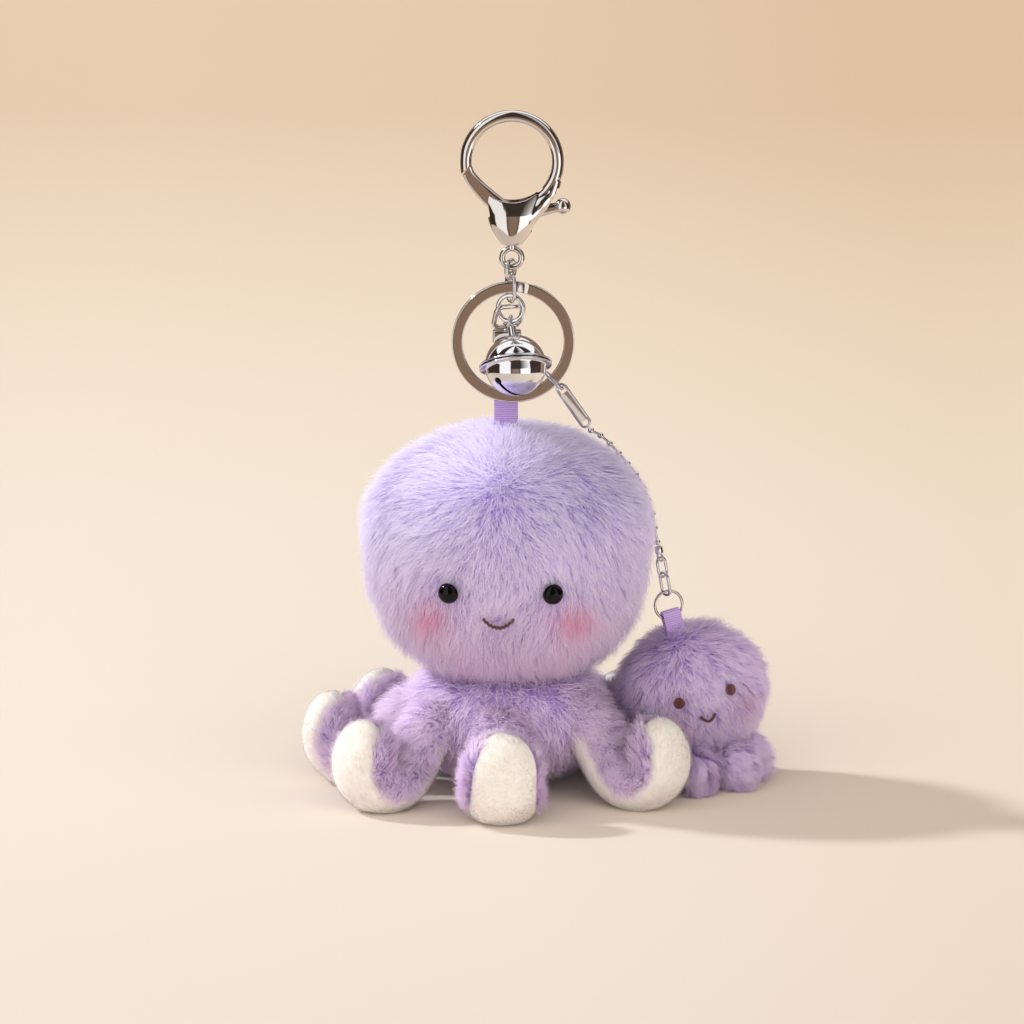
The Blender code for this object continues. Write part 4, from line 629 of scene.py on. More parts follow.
def make_tentacle(name, degrees, reach, full_width, seed):
    """One limb: fabric, velour sole with its seams drawn in, then the fur and the sole's fine nap."""
    surface, along = limb_surface(degrees, reach, full_width)
    rng = np.random.default_rng(seed)
    rows, columns = 44, 36
    s = np.concatenate([np.linspace(0.0, 0.8, rows - 12),
                        0.8 + 0.199 * np.sin(np.linspace(0.08, 1, 12) * math.pi / 2)])
    t = np.arange(columns) * math.tau / columns
    grid = surface(s[:, None].repeat(columns, 1), t[None, :].repeat(rows, 0), FABRIC_IN)
    faces = grid_faces(rows, columns) + [tuple(reversed(range(columns))),
                                         tuple((rows - 1) * columns + c for c in range(columns))]
    skin = mesh_piece("tentacle_fabric_" + name, grid.reshape(-1, 3), faces, lilac_fur)

    start = math.asin(SEAM) + 0.10
    near_rise, far_rise, near_tip, far_tip = SEAM_RISES.get(name, (0.0, 0.0, 0.0, 0.0))
    fade, curl = np.clip(1 - s / 0.85, 0, 1), np.clip((s - 0.55) / 0.35, 0, 1)
    puff = SOLE_PUFF - SOLE_TUCK * np.abs(np.linspace(-1, 1, SOLE_COLUMNS)) ** 6
    first, final = start + near_rise * fade + near_tip * curl, -math.pi - start - far_rise * fade - far_tip * curl
    arc = first[:, None] + (final - first)[:, None] * np.linspace(0, 1, SOLE_COLUMNS)[None, :]
    grid = surface(s[:, None].repeat(SOLE_COLUMNS, 1), arc, puff[None, :].repeat(rows, 0))
    grid[..., 2] = np.maximum(grid[..., 2], 0.0)
    top = (grid[:, :1] + grid[:, -1:]) / 2
    ring = np.concatenate([grid, grid[:, -1:] * 0.5 + top * 0.5, grid[:, :1] * 0.5 + top * 0.5], 1)
    columns = ring.shape[1]
    faces = grid_faces(rows, columns) + [tuple(range(columns)),
                                         tuple(reversed([(rows - 1) * columns + c for c in range(columns)]))]
    sole = mesh_piece("sole_velour_" + name, ring.reshape(-1, 3), [f[::-1] for f in faces], cream_velour)

    s_try = rng.uniform(0.02, 1.0, LIMB_FIBRES * 4)
    t_try = rng.uniform(math.asin(SEAM) - 0.02, math.pi - math.asin(SEAM) + 0.57, LIMB_FIBRES * 4)
    s_try = np.where(s_try > 0.8, 0.8 + 0.2 * np.sin((s_try - 0.8) / 0.2 * math.pi / 2), s_try)
    fade, curl = np.clip(1 - s_try / 0.85, 0, 1), np.clip((s_try - 0.55) / 0.35, 0, 1)
    past_near = t_try > math.asin(SEAM) - 0.02 + near_rise * fade + near_tip * curl
    furred = past_near & (t_try < math.pi - math.asin(SEAM) + 0.02 - far_rise * fade - far_tip * curl)
    s_try, t_try = s_try[furred], t_try[furred]
    du, dv = surface_ways(surface, s_try, t_try, ROOTS_IN)
    area = np.linalg.norm(np.cross(dv, du), axis=1)
    keep = rng.uniform(0, 1, len(area)) < area / np.quantile(area, 0.98)
    s_try, t_try, dv, normals = [a[keep][:LIMB_FIBRES] for a in (s_try, t_try, unit(dv), unit(np.cross(dv, du)))]
    roots = surface(s_try, t_try, ROOTS_IN)
    centre = (surface(s_try, t_try, 0) + surface(s_try, t_try + math.pi, 0)) / 2
    normals = normals * np.sign(np.sum(normals * (roots - centre), axis=1))[:, None]
    seamward = np.clip(1 - np.minimum(t_try - math.asin(SEAM), math.pi - math.asin(SEAM) - t_try) / 0.6, 0, 1)
    droop = dv * (np.sign(t_try - math.pi / 2) * seamward * 0.9)[:, None]
    comb = along(s_try) + droop + rng.normal(0, 0.5, (len(roots), 3))
    comb = lay_flat(comb, normals)
    length = LIMB_FUR + LOW_EXTRA * np.clip(1 - s_try / 0.45, 0, 1)
    length = length - 1.4 * MM * np.clip((s_try - 0.9) / 0.1, 0, 1) - 1.2 * MM * seamward
    # Painted light: the tentacle fur is painted paler throughout, against the shade round the curls, and tinted
    # pink as painted bounce light from the floor.
    coat = pile("tentacle_fur_" + name, lilac_fur, roots, normals, comb, length, LONG_FIBRE,
                0.74 + 0.10 * drift(roots, 5 * MM, seed + 2), seed + 1, clump=2.3 * MM, gather=0.5, wave=0.16,
                painted_bounce=0.2, pale=0.22)

    s_nap = rng.uniform(0.05, 0.99, NAP_HAIRS)
    t_nap = rng.uniform(-math.pi - start + 0.08, start - 0.08, NAP_HAIRS)
    edge_nap = np.abs((t_nap + math.pi / 2) / (math.pi / 2 + start))
    nap_roots = surface(s_nap, t_nap, SOLE_PUFF - SOLE_TUCK * edge_nap ** 6)
    nap_out = unit(nap_roots - (surface(s_nap, t_nap, 0) + surface(s_nap, t_nap + math.pi, 0)) / 2)
    off_floor = nap_roots[:, 2] > 0.6 * MM
    nap_roots, nap_out, nap_way = nap_roots[off_floor], nap_out[off_floor], along(s_nap)[off_floor]
    nap_comb = unit(nap_way - nap_out * np.sum(nap_way * nap_out, axis=1)[:, None]
                    + rng.normal(0, 0.5, nap_roots.shape))
    nap = pile("sole_nap_" + name, cream_nap, nap_roots, nap_out, nap_comb, NAP_LENGTH, NAP_HAIR, 0.85, seed + 3,
               clump=1.2 * MM, gather=0.05, wave=0.1, soften=0.95)
    for item, slot in ((skin, "plush_fur"), (coat, "plush_fur"), (sole, "cream_velour"), (nap, "cream_velour")):
        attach(item, "plush")
    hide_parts("tentacle_" + name)
    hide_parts("sole_" + name)


for index, row in enumerate(TENTACLES):
    make_tentacle(*row, 100 + 7 * index)

# ---------------------------------------------------------------- baby octopus
# A second, smaller octopus of the same fur, brushed out from its crown, on eight short stub arms.
# It is stuffed, rolled a little on the floor, and its face looks past the right of the viewer.
BABY_CENTRE = np.array([PLUSH_X + 45.7 * MM, PLUSH_Y + 7.5 * MM, 23.4 * MM])
BABY_HALF = np.array([17.5, 16.0, 15.7]) * MM
BABY_TURN = np.array(Matrix.Rotation(math.radians(-13), 3, "Y"))
ARM_ROOT, ARM_REACH, ARM_WIDTH, ARM_THICKNESS = 7.6 * MM, 18.8 * MM, 9.6 * MM, 12.0 * MM
ARM_ROOT_RISE, ARM_TIP_RISE = 6.9 * MM, 5.1 * MM
BABY_FIBRES, BABY_FIBRE, BABY_FUR, BABY_LOW_EXTRA = 42000, 0.065 * MM, 6.4 * MM, 2.6 * MM
ARM_FIBRES, ARM_FIBRE, ARM_FUR = 6500, 0.075 * MM, 5.6 * MM
BABY_EYES, BABY_EYE_RISE = (("left", -0.18), ("right", 0.54)), 0.05


def baby_surface(theta, phi, grow):
    half = BABY_HALF + grow
    across = np.cos(phi)
    local = np.stack([half[0] * across * np.cos(theta), half[1] * across * np.sin(theta),
                      half[2] * np.sin(phi) + 0 * theta], -1)
    return BABY_CENTRE + local @ BABY_TURN.T


baby_fur = fur_material("lilac_short_pile_faux_fur", "#C6ABEE", "#E0CFF9", "#F4ECFE", "#F7A8C0")


def baby_face_point(x_share, z_share):
    """A point on the front of the baby's head and its outward normal."""
    local = np.array([x_share, -math.sqrt(1 - x_share ** 2 - z_share ** 2), z_share])
    return Vector(BABY_CENTRE + BABY_TURN @ (BABY_HALF * local)), Vector(BABY_TURN @ unit(local / BABY_HALF))


def make_baby_fur():
    skin = globe_skin("baby_fabric", baby_surface, -1.5 * MM, baby_fur, 48, 30)
    roots, normals = globe_roots(baby_surface, BABY_FIBRES, -1.4 * MM, np.random.default_rng(31))
    crown = BABY_CENTRE + BABY_TURN @ (BABY_HALF * np.array([-0.1, -0.15, 1.0]))
    away = roots - crown
    comb = lay_flat(away, normals)
    length = BABY_FUR + BABY_LOW_EXTRA * np.clip((22 * MM - roots[:, 2]) / (12 * MM), 0, 1)
    swirl = np.exp(-(np.linalg.norm(away, axis=1) / (4.5 * MM)) ** 2)
    comb = unit(comb + np.random.default_rng(34).normal(0, 1.2, comb.shape) * swirl[:, None])
    comb = lay_flat(comb, normals)
    for x, z in [(x, BABY_EYE_RISE) for _, x in BABY_EYES] + [(0.16, -0.28)]:
        d = np.linalg.norm(roots - np.array(baby_face_point(x, z)[0]), axis=1)
        length *= 1 - 0.72 * np.clip(1 - d / (6.5 * MM), 0, 1)
    blush = np.zeros(len(roots))
    for x, z in ((-0.34, -0.25), (0.72, -0.20)):
        spot = np.array(baby_face_point(x, z)[0])
        blush = np.maximum(blush, np.exp(-(np.linalg.norm(roots - spot, axis=1) / (3.6 * MM)) ** 2))
    # The baby's fur is painted a little paler as painted light, and paler at the crown swirl; it is tinted pink as
    # painted bounce light from the floor.
    coat = pile("baby_fur_coat", baby_fur, roots, normals, comb, length, BABY_FIBRE,
                0.68 + 0.08 * drift(roots, 5 * MM, 33), 32, clump=1.3 * MM, gather=0.3,
                blush=0.22 * blush, painted_bounce=0.15, pale=0.12 + 0.4 * swirl)
    for item in (skin, coat):
        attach(item, "baby")
    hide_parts("baby_head")


make_baby_fur()


def make_baby_arm(index):
    angle = math.radians(5 + 45 * index)
    out, side = np.array([math.cos(angle), math.sin(angle), 0]), np.array([-math.sin(angle), math.cos(angle), 0])
    base, up = np.array([BABY_CENTRE[0], BABY_CENTRE[1], 0]), np.array([0, 0, 1.0])
    root, tip = base + out * ARM_ROOT + up * ARM_ROOT_RISE, base + out * ARM_REACH + up * ARM_TIP_RISE

    def surface(theta, phi, grow):
        s = (1 + np.sin(phi)) / 2
        swell = np.clip(np.cos(phi), 0, 1) ** 0.8
        place = root + (tip - root) * s[..., None] + (unit(tip - root) * grow) * np.sin(phi)[..., None]
        width, thick = (ARM_WIDTH / 2 + grow) * swell, (ARM_THICKNESS / 2 + grow) * swell
        return place + side * (width * np.cos(theta))[..., None] + up * (thick * np.sin(theta))[..., None]

    skin = globe_skin("baby_arm_fabric_%d" % (index + 1), surface, -1.6 * MM, baby_fur, 20, 14)
    rng = np.random.default_rng(200 + index)
    roots, normals = globe_roots(surface, ARM_FIBRES, -1.5 * MM, rng, -0.8, 1.5)
    middle = (root + tip) / 2
    normals *= np.sign(np.sum(normals * (roots - middle), axis=1))[:, None]
    comb = out * 0.8 - up * 0.4 + rng.normal(0, 0.2, roots.shape)
    comb = lay_flat(comb, normals)
    # Painted light: the arms' fur is painted paler, against the shade they sit in, and tinted pink as painted
    # bounce light from the floor.
    coat = pile("baby_arm_fur_%d" % (index + 1), baby_fur, roots, normals, comb, ARM_FUR, ARM_FIBRE, 0.66,
                300 + index, clump=1.9 * MM, gather=0.5, painted_bounce=0.15, pale=0.15)
    for item in (skin, coat):
        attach(item, "baby")
    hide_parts("baby_arm_%d" % (index + 1))


for index in range(8):
    make_baby_arm(index)

# ---------------------------------------------------------------- safety eyes and stitched mouth
# Black moulded eyes with a domed, polished face. Each is pushed through the fur on a post and held
# by a washer behind the fabric. The mouth is one zigzag line of dark brown thread.
FACE_X, EYE_SPACING, EYE_Z = -1.5 * MM, 25.0 * MM, 56.0 * MM
EYE_DIAMETER, EYE_HEIGHT, EYE_LIFT = 5.2 * MM, 2.2 * MM, 0.5 * MM
MOUTH_X, MOUTH_Z, MOUTH_WIDTH, MOUTH_DROP = -2.0 * MM, 49.9 * MM, 7.0 * MM, 2.1 * MM
STITCH_R = 0.36 * MM


def face_point(x, z):
    """A point on the front of the head and its outward normal."""
    def depth(a, b):
        rise = (b - HEAD_WIDEST) / (HEAD_WIDEST - HEAD_BOTTOM)
        reach = (1 - abs(rise) ** HEAD_LOWER_POWER) ** (1 / HEAD_LOWER_POWER)
        return HEAD_DEPTH / 2 * math.sqrt(reach * reach - (a / (HEAD_WIDTH / 2)) ** 2)
    step = 0.3 * MM
    slope_x = (depth(x + step, z) - depth(x - step, z)) / (2 * step)
    slope_z = (depth(x, z + step) - depth(x, z - step)) / (2 * step)
    return Vector((PLUSH_X + x, PLUSH_Y - depth(x, z), z)), Vector((-slope_x, -1, -slope_z)).normalized()


def lathe(profile, base, axis, segments=64):
    """Points and faces of a turned shape from (radius, height) pairs, open where the radius is not zero."""
    side = axis.orthogonal().normalized()
    over = axis.cross(side)
    points, faces, rows = [], [], []
    for radius, height in profile:
        if radius < 1e-7:
            rows.append([len(points)])
            points.append(base + axis * height)
            continue
        rows.append(list(range(len(points), len(points) + segments)))
        for k in range(segments):
            a = math.tau * k / segments
            points.append(base + axis * height + (side * math.cos(a) + over * math.sin(a)) * radius)
    for low, high in zip(rows, rows[1:]):
        for k in range(segments):
            a, b = k % len(low), (k + 1) % len(low)
            c, d = (k + 1) % len(high), k % len(high)
            face = [low[a], low[b], high[c], high[d]]
            face = [v for i, v in enumerate(face) if v not in face[:i]]
            if len(face) > 2:
                faces.append(face)
    return points, faces


# Moulded black acrylic, polished: a near-black body with a clear wet-looking highlight.
black_acrylic, tree, out = new_material("polished_black_acrylic")
principled(tree, out, {"Base Color": linear("#060404"), "Roughness": 0.09, "Specular IOR Level": 0.22})
for name, sign in (("left", -1), ("right", 1)):
    spot, normal = face_point(FACE_X + sign * EYE_SPACING / 2, EYE_Z)
    base = spot + normal * EYE_LIFT
    radius = EYE_DIAMETER / 2
    dome = [(0.0, -3.8 * MM), (0.8 * MM, -3.8 * MM), (0.8 * MM, 0.0), (radius * 0.96, 0.0), (radius, 0.12 * MM)]
    dome += [(radius * math.cos(a), 0.12 * MM + (EYE_HEIGHT - 0.12 * MM) * math.sin(a))
             for a in np.linspace(0.08, math.pi / 2, 18)[:-1]]
    points, faces = lathe(dome + [(0.0, EYE_HEIGHT)], base, normal)
    eye = mesh_piece("safety_eye_" + name, points, faces, black_acrylic)
    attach(eye, "plush")
    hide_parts("eye_" + name)


def thread_material(name, dark, light, pitch):
    """Satin stitch in rayon thread: fine ridges side by side, each with a painted highlight streak along it."""
    made, tree, out = new_material(name)
    place = node(tree, "ShaderNodeTexCoord")
    twist = node(tree, "ShaderNodeTexWave", {"wave_type": "BANDS", "bands_direction": "X", "Scale": 1 / pitch,
                 "Distortion": 1.5, "Detail": 2.0}, {"Vector": place.outputs["Object"]}).outputs["Fac"]
    principled(tree, out, {"Roughness": 0.48, "Sheen Weight": 0.25, "Specular IOR Level": 0.35},
               # Painted highlight: the colour runs from dark to light across each ridge, a streak of sheen painted
               # along it.
               {"Base Color": ramp(tree, twist, [(0.1, dark), (0.9, light)]),
                "Normal": bump(tree, twist, 0.8, 0.12 * MM)})
    return made


def tube(name, path, normals, radius, material):
    """A round tube along points that lie on a surface with these normals."""
    sides = 12
    path = [Vector(p) for p in path]
    count = len(path)
    points, faces = [], []
    for i, place in enumerate(path):
        before, after = path[max(i - 1, 0)], path[min(i + 1, count - 1)]
        along = (after - before).normalized()
        side = along.cross(normals[i]).normalized()
        up = side.cross(along).normalized()
        for k in range(sides):
            a = math.tau * k / sides
            points.append(place + side * (radius * math.cos(a)) + up * (radius * math.sin(a)))
    for i in range(count - 1):
        a, b = i * sides, (i + 1) * sides
        for k in range(sides):
            faces.append((a + k, a + (k + 1) % sides, b + (k + 1) % sides, b + k))
    faces += [tuple(reversed(range(sides))), tuple(range(len(points) - sides, len(points)))]
    return mesh_piece(name, points, faces, material)


brown_thread = thread_material("dark_brown_rayon_thread", "#3C1513", "#742C27", 0.45 * MM)
path, normals = [], []
for k in range(97):
    s = k / 48 - 1
    zigzag = abs((k / 6.0) % 2 - 1) - 0.5
    spot, normal = face_point(MOUTH_X + s * MOUTH_WIDTH / 2,
                              MOUTH_Z + (s * s - 1) * MOUTH_DROP + zigzag * 0.75 * MM)
    path.append(spot + normal * (0.95 * MM + 0.2 * MM * math.cos(k * math.pi / 6)))
    normals.append(normal)
mouth = tube("stitched_mouth", path, normals, STITCH_R, brown_thread)
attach(mouth, "plush")
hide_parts("mouth_stitch")

for name, x_share in BABY_EYES:
    spot, normal = baby_face_point(x_share, BABY_EYE_RISE)
    profile = [(0.0, 0.2 * MM), (1.35 * MM, 0.2 * MM), (1.42 * MM, 0.7 * MM), (1.15 * MM, 1.15 * MM),
               (0.6 * MM, 1.32 * MM), (0.0, 1.36 * MM)]
    points, faces = lathe(profile, spot, normal, 32)
    stitched = mesh_piece("stitched_baby_eye_" + name, points, faces, brown_thread)
    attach(stitched, "baby")
    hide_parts("baby_eye_" + name)
path, normals = [], []
for k in range(25):
    s = k / 12 - 1
    spot, normal = baby_face_point(0.16 + s * 0.10, -0.22 + (s * s - 1) * 0.10)
    path.append(spot + normal * 0.9 * MM)
    normals.append(normal)
smile = tube("stitched_baby_mouth", path, normals, STITCH_R, brown_thread)
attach(smile, "baby")
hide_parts("baby_mouth")

# ---------------------------------------------------------------- clasp
# A die-cast zinc lobster clasp, polished and nickel plated. Its ring runs down by a heel into a
# solid bulb, which is slotted for the sprung gate, and a swivel eye turns in its foot.
CLASP_X, CLASP_RING_Z, CLASP_RING_R, CLASP_WIRE = 1.2 * MM, 157.1 * MM, 11.15 * MM, 3.1 * MM
BULB_BOTTOM, BULB_WIDE, BULB_TOP = 136.6 * MM, 144.2 * MM, 149.6 * MM
BULB_WIDTH, BULB_TIP, BULB_THICKNESS = 12.3 * MM, 4.8 * MM, 7.0 * MM
SPLIT_ANGLE, ARM_END_ANGLE, SPLIT_SLANT = 189, -66, 0.8
GATE_THICKNESS, GATE_PIVOT_Z, GATE_ROOT, GATE_TIP = 2.0 * MM, 143.6 * MM, 5.6 * MM, 2.6 * MM
HEEL_PLACES = [(11.9, 152.6), (10.6, 149.2), (8.0, 146.2), (5.2, 143.4), (3.4, 140.4)]
HEEL_HALVES = [(1.5, 1.5), (1.9, 1.7), (2.3, 2.1), (2.6, 2.5), (2.0, 2.1)]
KNOB_OUT, KNOB_UP, KNOB_R, NECK_SIZES = 12.4 * MM, 2.4 * MM, 2.0 * MM, (0.38, 0.34, 0.29, 0.22, 0.20)
GAP = 0.3 * MM
FRONT = Vector((0, 1, 0))


def at_plush(x, y, z):
    return Vector((PLUSH_X + x, PLUSH_Y + y, z))


def metal(name, colour, roughness):
    """Plated metal: a mirror with a faint ripple from polishing and finer roughness where hands rub it."""
    made, tree, out = new_material(name)
    wear = {"From Min": 0.35, "From Max": 0.75, "To Min": roughness, "To Max": roughness * 2.2}
    rough = node(tree, "ShaderNodeMapRange", wear, {"Value": noise(tree, 3 * MM, 6.0, 0.7)})
    principled(tree, out, {"Base Color": linear(colour), "Metallic": 1.0},
               {"Roughness": rough.outputs["Result"],
                "Normal": bump(tree, noise(tree, 1.2 * MM, 2.0), 0.05, 0.02 * MM)})
    return made


nickel = metal("polished_nickel_plate", "#DAD4CF", 0.05)
chrome = metal("bright_chrome_plate", "#E6E6E8", 0.03)


def ring_row(centre, side, up, half_side, half_up, count, power=2.0):
    """One closed section, round at power 2 and nearer to a rounded rectangle above it."""
    row = []
    for k in range(count):
        a = math.tau * k / count
        c, s = math.cos(a), math.sin(a)
        u, v = math.copysign(abs(c) ** (2 / power), c), math.copysign(abs(s) ** (2 / power), s)
        row.append(centre + side * (half_side * u) + up * (half_up * v))
    return row


def loft(name, rows, material, closed=False):
    """Skins closed sections of equal count, capped at both ends unless the rows close on themselves."""
    count = len(rows[0])
    points = [p for row in rows for p in row]
    spans = len(rows) if closed else len(rows) - 1
    faces = []
    for i in range(spans):
        a, b = i * count, (i + 1) % len(rows) * count
        faces += [(a + j, a + (j + 1) % count, b + (j + 1) % count, b + j) for j in range(count)]
    if not closed:
        faces += [tuple(reversed(range(count))), tuple(range(len(points) - count, len(points)))]
    item = mesh_piece(name, points, faces, material)
    tidy_normals(item)
    return item


def tidy_normals(item):
    """Turns all faces of a closed shape outward."""
    shape = bmesh.new()
    shape.from_mesh(item.data)
    bmesh.ops.recalc_face_normals(shape, faces=shape.faces)
    shape.to_mesh(item.data)
    shape.free()


def ball(name, centre, radius):
    around = np.linspace(-math.pi / 2, math.pi / 2, 33)
    profile = [(radius * math.cos(a), radius * math.sin(a)) for a in around]
    made = mesh_piece(name, *lathe(profile, centre, Vector((0, 0, 1)), 48))
    tidy_normals(made)
    return made


def rod(name, low, high, radius, count=48):
    along = (high - low).normalized()
    side = along.orthogonal().normalized()
    rows = [ring_row(p, side, along.cross(side), radius, radius, count) for p in (low, high)]
    return loft(name, rows, None)


def block(name, low, high):
    (x0, y0, z0), (x1, y1, z1) = low, high
    rows = [[Vector((x, y, z)) for x, y in ((x0, y0), (x1, y0), (x1, y1), (x0, y1))] for z in (z0, z1)]
    return loft(name, rows, None)


def combine(item, other, operation):
    """An exact Boolean, applied, and the other shape removed."""
    step = item.modifiers.new("join", "BOOLEAN")
    step.operation, step.solver, step.object = operation, "EXACT", other
    bake_modifiers(item)
    bpy.data.objects.remove(other, do_unlink=True)


def bake_modifiers(item):
    bpy.context.view_layer.update()
    evaluated = item.evaluated_get(bpy.context.evaluated_depsgraph_get())
    data = bpy.data.meshes.new_from_object(evaluated)
    item.modifiers.clear()
    item.data = data


def cast_together(item, voxel, rounds):
    """Melts joined shapes into one casting with soft corners."""
    step = item.modifiers.new("melt", "REMESH")
    step.mode, step.voxel_size = "VOXEL", voxel
    soften = item.modifiers.new("soften", "SMOOTH")
    soften.factor, soften.iterations = 0.5, rounds
    bake_modifiers(item)


def finish_metal(item, material, body, slot, *nodes, angle=38):
    item.data.materials.clear()
    item.data.materials.append(material)
    item.data.shade_smooth()
    item.data.set_sharp_from_angle(angle=math.radians(angle))
    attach(item, body)
    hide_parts(*nodes)


def make_clasp():
    """The casting, melted together from ring, bulb and heel and then slotted, and the gate with its knob."""
    centre, pivot = at_plush(CLASP_X, 0, CLASP_RING_Z), at_plush(CLASP_X, 0, GATE_PIVOT_Z)
    split = math.radians(SPLIT_ANGLE)
    out, up = Vector((math.cos(split), 0, math.sin(split))), Vector((math.sin(split), 0, -math.cos(split)))
    rows = []
    for i in range(91):
        a = math.radians(SPLIT_ANGLE + (ARM_END_ANGLE - SPLIT_ANGLE) * i / 90)
        way = Vector((math.cos(a), 0, math.sin(a)))
        row = ring_row(centre + way * CLASP_RING_R, way, FRONT, CLASP_WIRE / 2, CLASP_WIRE / 2, 28)
        if i < 8:
            row = [p - up * ((p - centre - way * CLASP_RING_R).dot(out) * SPLIT_SLANT * (1 - i / 8)) for p in row]
        rows.append(row)
    body = loft("clasp_casting", rows, nickel)
    rows = []
    for i in range(41):
        z = BULB_BOTTOM + (BULB_TOP - BULB_BOTTOM) * i / 40
        rise = (z - BULB_BOTTOM) / (BULB_WIDE - BULB_BOTTOM)
        swell = math.sin(min(rise, 1) * math.pi / 2) ** 0.95
        half = (BULB_TIP + (BULB_WIDTH - BULB_TIP) * swell) / 2 + max(z - BULB_WIDE, 0) * 0.35
        thick = BULB_TIP + (BULB_THICKNESS - BULB_TIP) * swell ** 0.45 - max(z - BULB_WIDE, 0) * 0.62
        rows.append(ring_row(at_plush(CLASP_X + (z - BULB_BOTTOM) * 0.04, 0, z), Vector((1, 0, 0)), FRONT, half,
                             thick / 2, 48))
    combine(body, loft("bulb", rows, None), "UNION")
    heel = [at_plush(x * MM, 0, z * MM) for x, z in HEEL_PLACES]
    rows = []
    for i in range(33):
        t = i / 32 * (len(heel) - 1)
        k = min(int(t), len(heel) - 2)
        blend = (t - k) ** 2 * (3 - 2 * (t - k))
        place, along = heel[k].lerp(heel[k + 1], t - k), (heel[k + 1] - heel[k]).normalized()
        wide, deep = [a + (b - a) * blend for a, b in zip(HEEL_HALVES[k], HEEL_HALVES[k + 1])]
        rows.append(ring_row(place, Vector((-along.z, 0, along.x)), FRONT, wide * MM, deep * MM, 32))
    combine(body, loft("heel", rows, None), "UNION")
    combine(body, rod("opening", centre - FRONT * BULB_WIDTH, centre + FRONT * BULB_WIDTH,
                      CLASP_RING_R - CLASP_WIRE * 0.42, 96), "DIFFERENCE")
    cast_together(body, 0.16 * MM, 5)
    slot_half = GATE_THICKNESS / 2 + GAP
    combine(body, block("slot", at_plush(-CLASP_RING_R, -slot_half, GATE_PIVOT_Z - 0.4 * MM),
                        at_plush(0, slot_half, BULB_TOP + 1 * MM)), "DIFFERENCE")
    combine(body, rod("hub_room", pivot - FRONT * slot_half, pivot + FRONT * slot_half, GATE_ROOT / 2 + 3 * GAP,
                      64), "DIFFERENCE")
    combine(body, block("knob_slot", at_plush(0, -slot_half, GATE_PIVOT_Z - GATE_ROOT / 2 - 3 * GAP),
                        at_plush(13.4 * MM, slot_half, BULB_TOP + 1 * MM)), "DIFFERENCE")
    combine(body, rod("stem_bore", at_plush(CLASP_X, 0, BULB_BOTTOM - 2 * MM),
                      at_plush(CLASP_X, 0, BULB_BOTTOM + 3.1 * MM), 1.15 * MM), "DIFFERENCE")
    finish_metal(body, nickel, "clasp", "nickel_plate", "clasp_body", angle=45)

    tip_angle, bow = math.radians(SPLIT_ANGLE + 2.2), math.radians(214)
    tip = centre + Vector((math.cos(tip_angle), 0, math.sin(tip_angle))) * CLASP_RING_R
    bend = centre + Vector((math.cos(bow), 0, math.sin(bow))) * (CLASP_RING_R * 1.02)
    rows = []
    for i in range(41):
        s = i / 40
        place = tip * (1 - s) ** 2 + bend * (2 * s * (1 - s)) + pivot * s ** 2
        along = ((bend - tip) * (1 - s) + (pivot - bend) * s).normalized()
        width = GATE_TIP + (GATE_ROOT * 0.8 - GATE_TIP) * s
        thick = GATE_THICKNESS + max(0, (CLASP_WIRE - GATE_THICKNESS) * 0.8 * (1 - s / 0.55))
        row = ring_row(place, FRONT.cross(along), FRONT, width / 2, thick / 2, 40, 5.0)
        if i < 4:
            row = [p - up * ((p - place).dot(out) * SPLIT_SLANT * (1 - i / 4)) for p in row]
        rows.append(row)
    gate = loft("clasp_gate_lever", rows, nickel)
    half = FRONT * (GATE_THICKNESS / 2)
    combine(gate, rod("hub", pivot - half, pivot + half, GATE_ROOT / 2, 64), "UNION")
    knob = at_plush(CLASP_X + KNOB_OUT, 0, GATE_PIVOT_Z + KNOB_UP)
    along = (knob - pivot).normalized()
    rows = []
    for s in np.linspace(0, 1, 24):
        wide = GATE_ROOT * float(np.interp(s, (0.0, 0.3, 0.45, 0.75, 1.0), NECK_SIZES))
        rows.append(ring_row(pivot.lerp(knob, s), FRONT.cross(along), FRONT, wide, GATE_THICKNESS * 0.46, 32, 3.0))
    combine(gate, loft("neck", rows, None), "UNION")
    combine(gate, ball("knob", knob, KNOB_R), "UNION")
    combine(gate, rod("bore", pivot - FRONT * 6 * MM, pivot + FRONT * 6 * MM, 1.0 * MM), "DIFFERENCE")
    finish_metal(gate, nickel, "gate", "nickel_plate", "clasp_gate", angle=30)


make_clasp()


def turned(roll=0, yaw=0, pitch=0, slant=0):
    """Roll in the piece's own plane, pitch to the back, yaw, then slant in the front plane."""
    turns = (("Y1", roll), ("X", pitch), ("Z", yaw), ("Y2", slant))
    spin = {k: Matrix.Rotation(math.radians(v), 3, k[0]) for k, v in turns}
    return spin["Y2"] @ spin["Z"] @ spin["X"] @ spin["Y1"]


def wire_link(name, centre, width, height, wire, material, turn, corner=None):
    """A bent-wire ring or link, given by its outer width and height."""
    detail, sides = 12, 24
    corner = corner or (min(width, height) - wire) / 2
    rows = []
    for quarter in range(4):
        for k in range(detail + 1):
            a, diagonal = math.pi / 2 * (quarter + k / detail), math.pi / 4 + quarter * math.pi / 2
            out = Vector((math.cos(a), 0, math.sin(a)))
            middle = Vector((math.copysign((width - wire) / 2 - corner, math.cos(diagonal)), 0,
                             math.copysign((height - wire) / 2 - corner, math.sin(diagonal))))
            place = middle + out * corner
            if not rows or (place - last).length > corner * 0.01:
                rows.append(ring_row(centre + turn @ place, turn @ out, turn @ FRONT, wire / 2, wire / 2, sides))
                last = place
    if (sum(rows[0], Vector()) / sides - sum(rows[-1], Vector()) / sides).length < corner * 0.01:
        rows.pop()
    return loft(name, rows, material, closed=True)


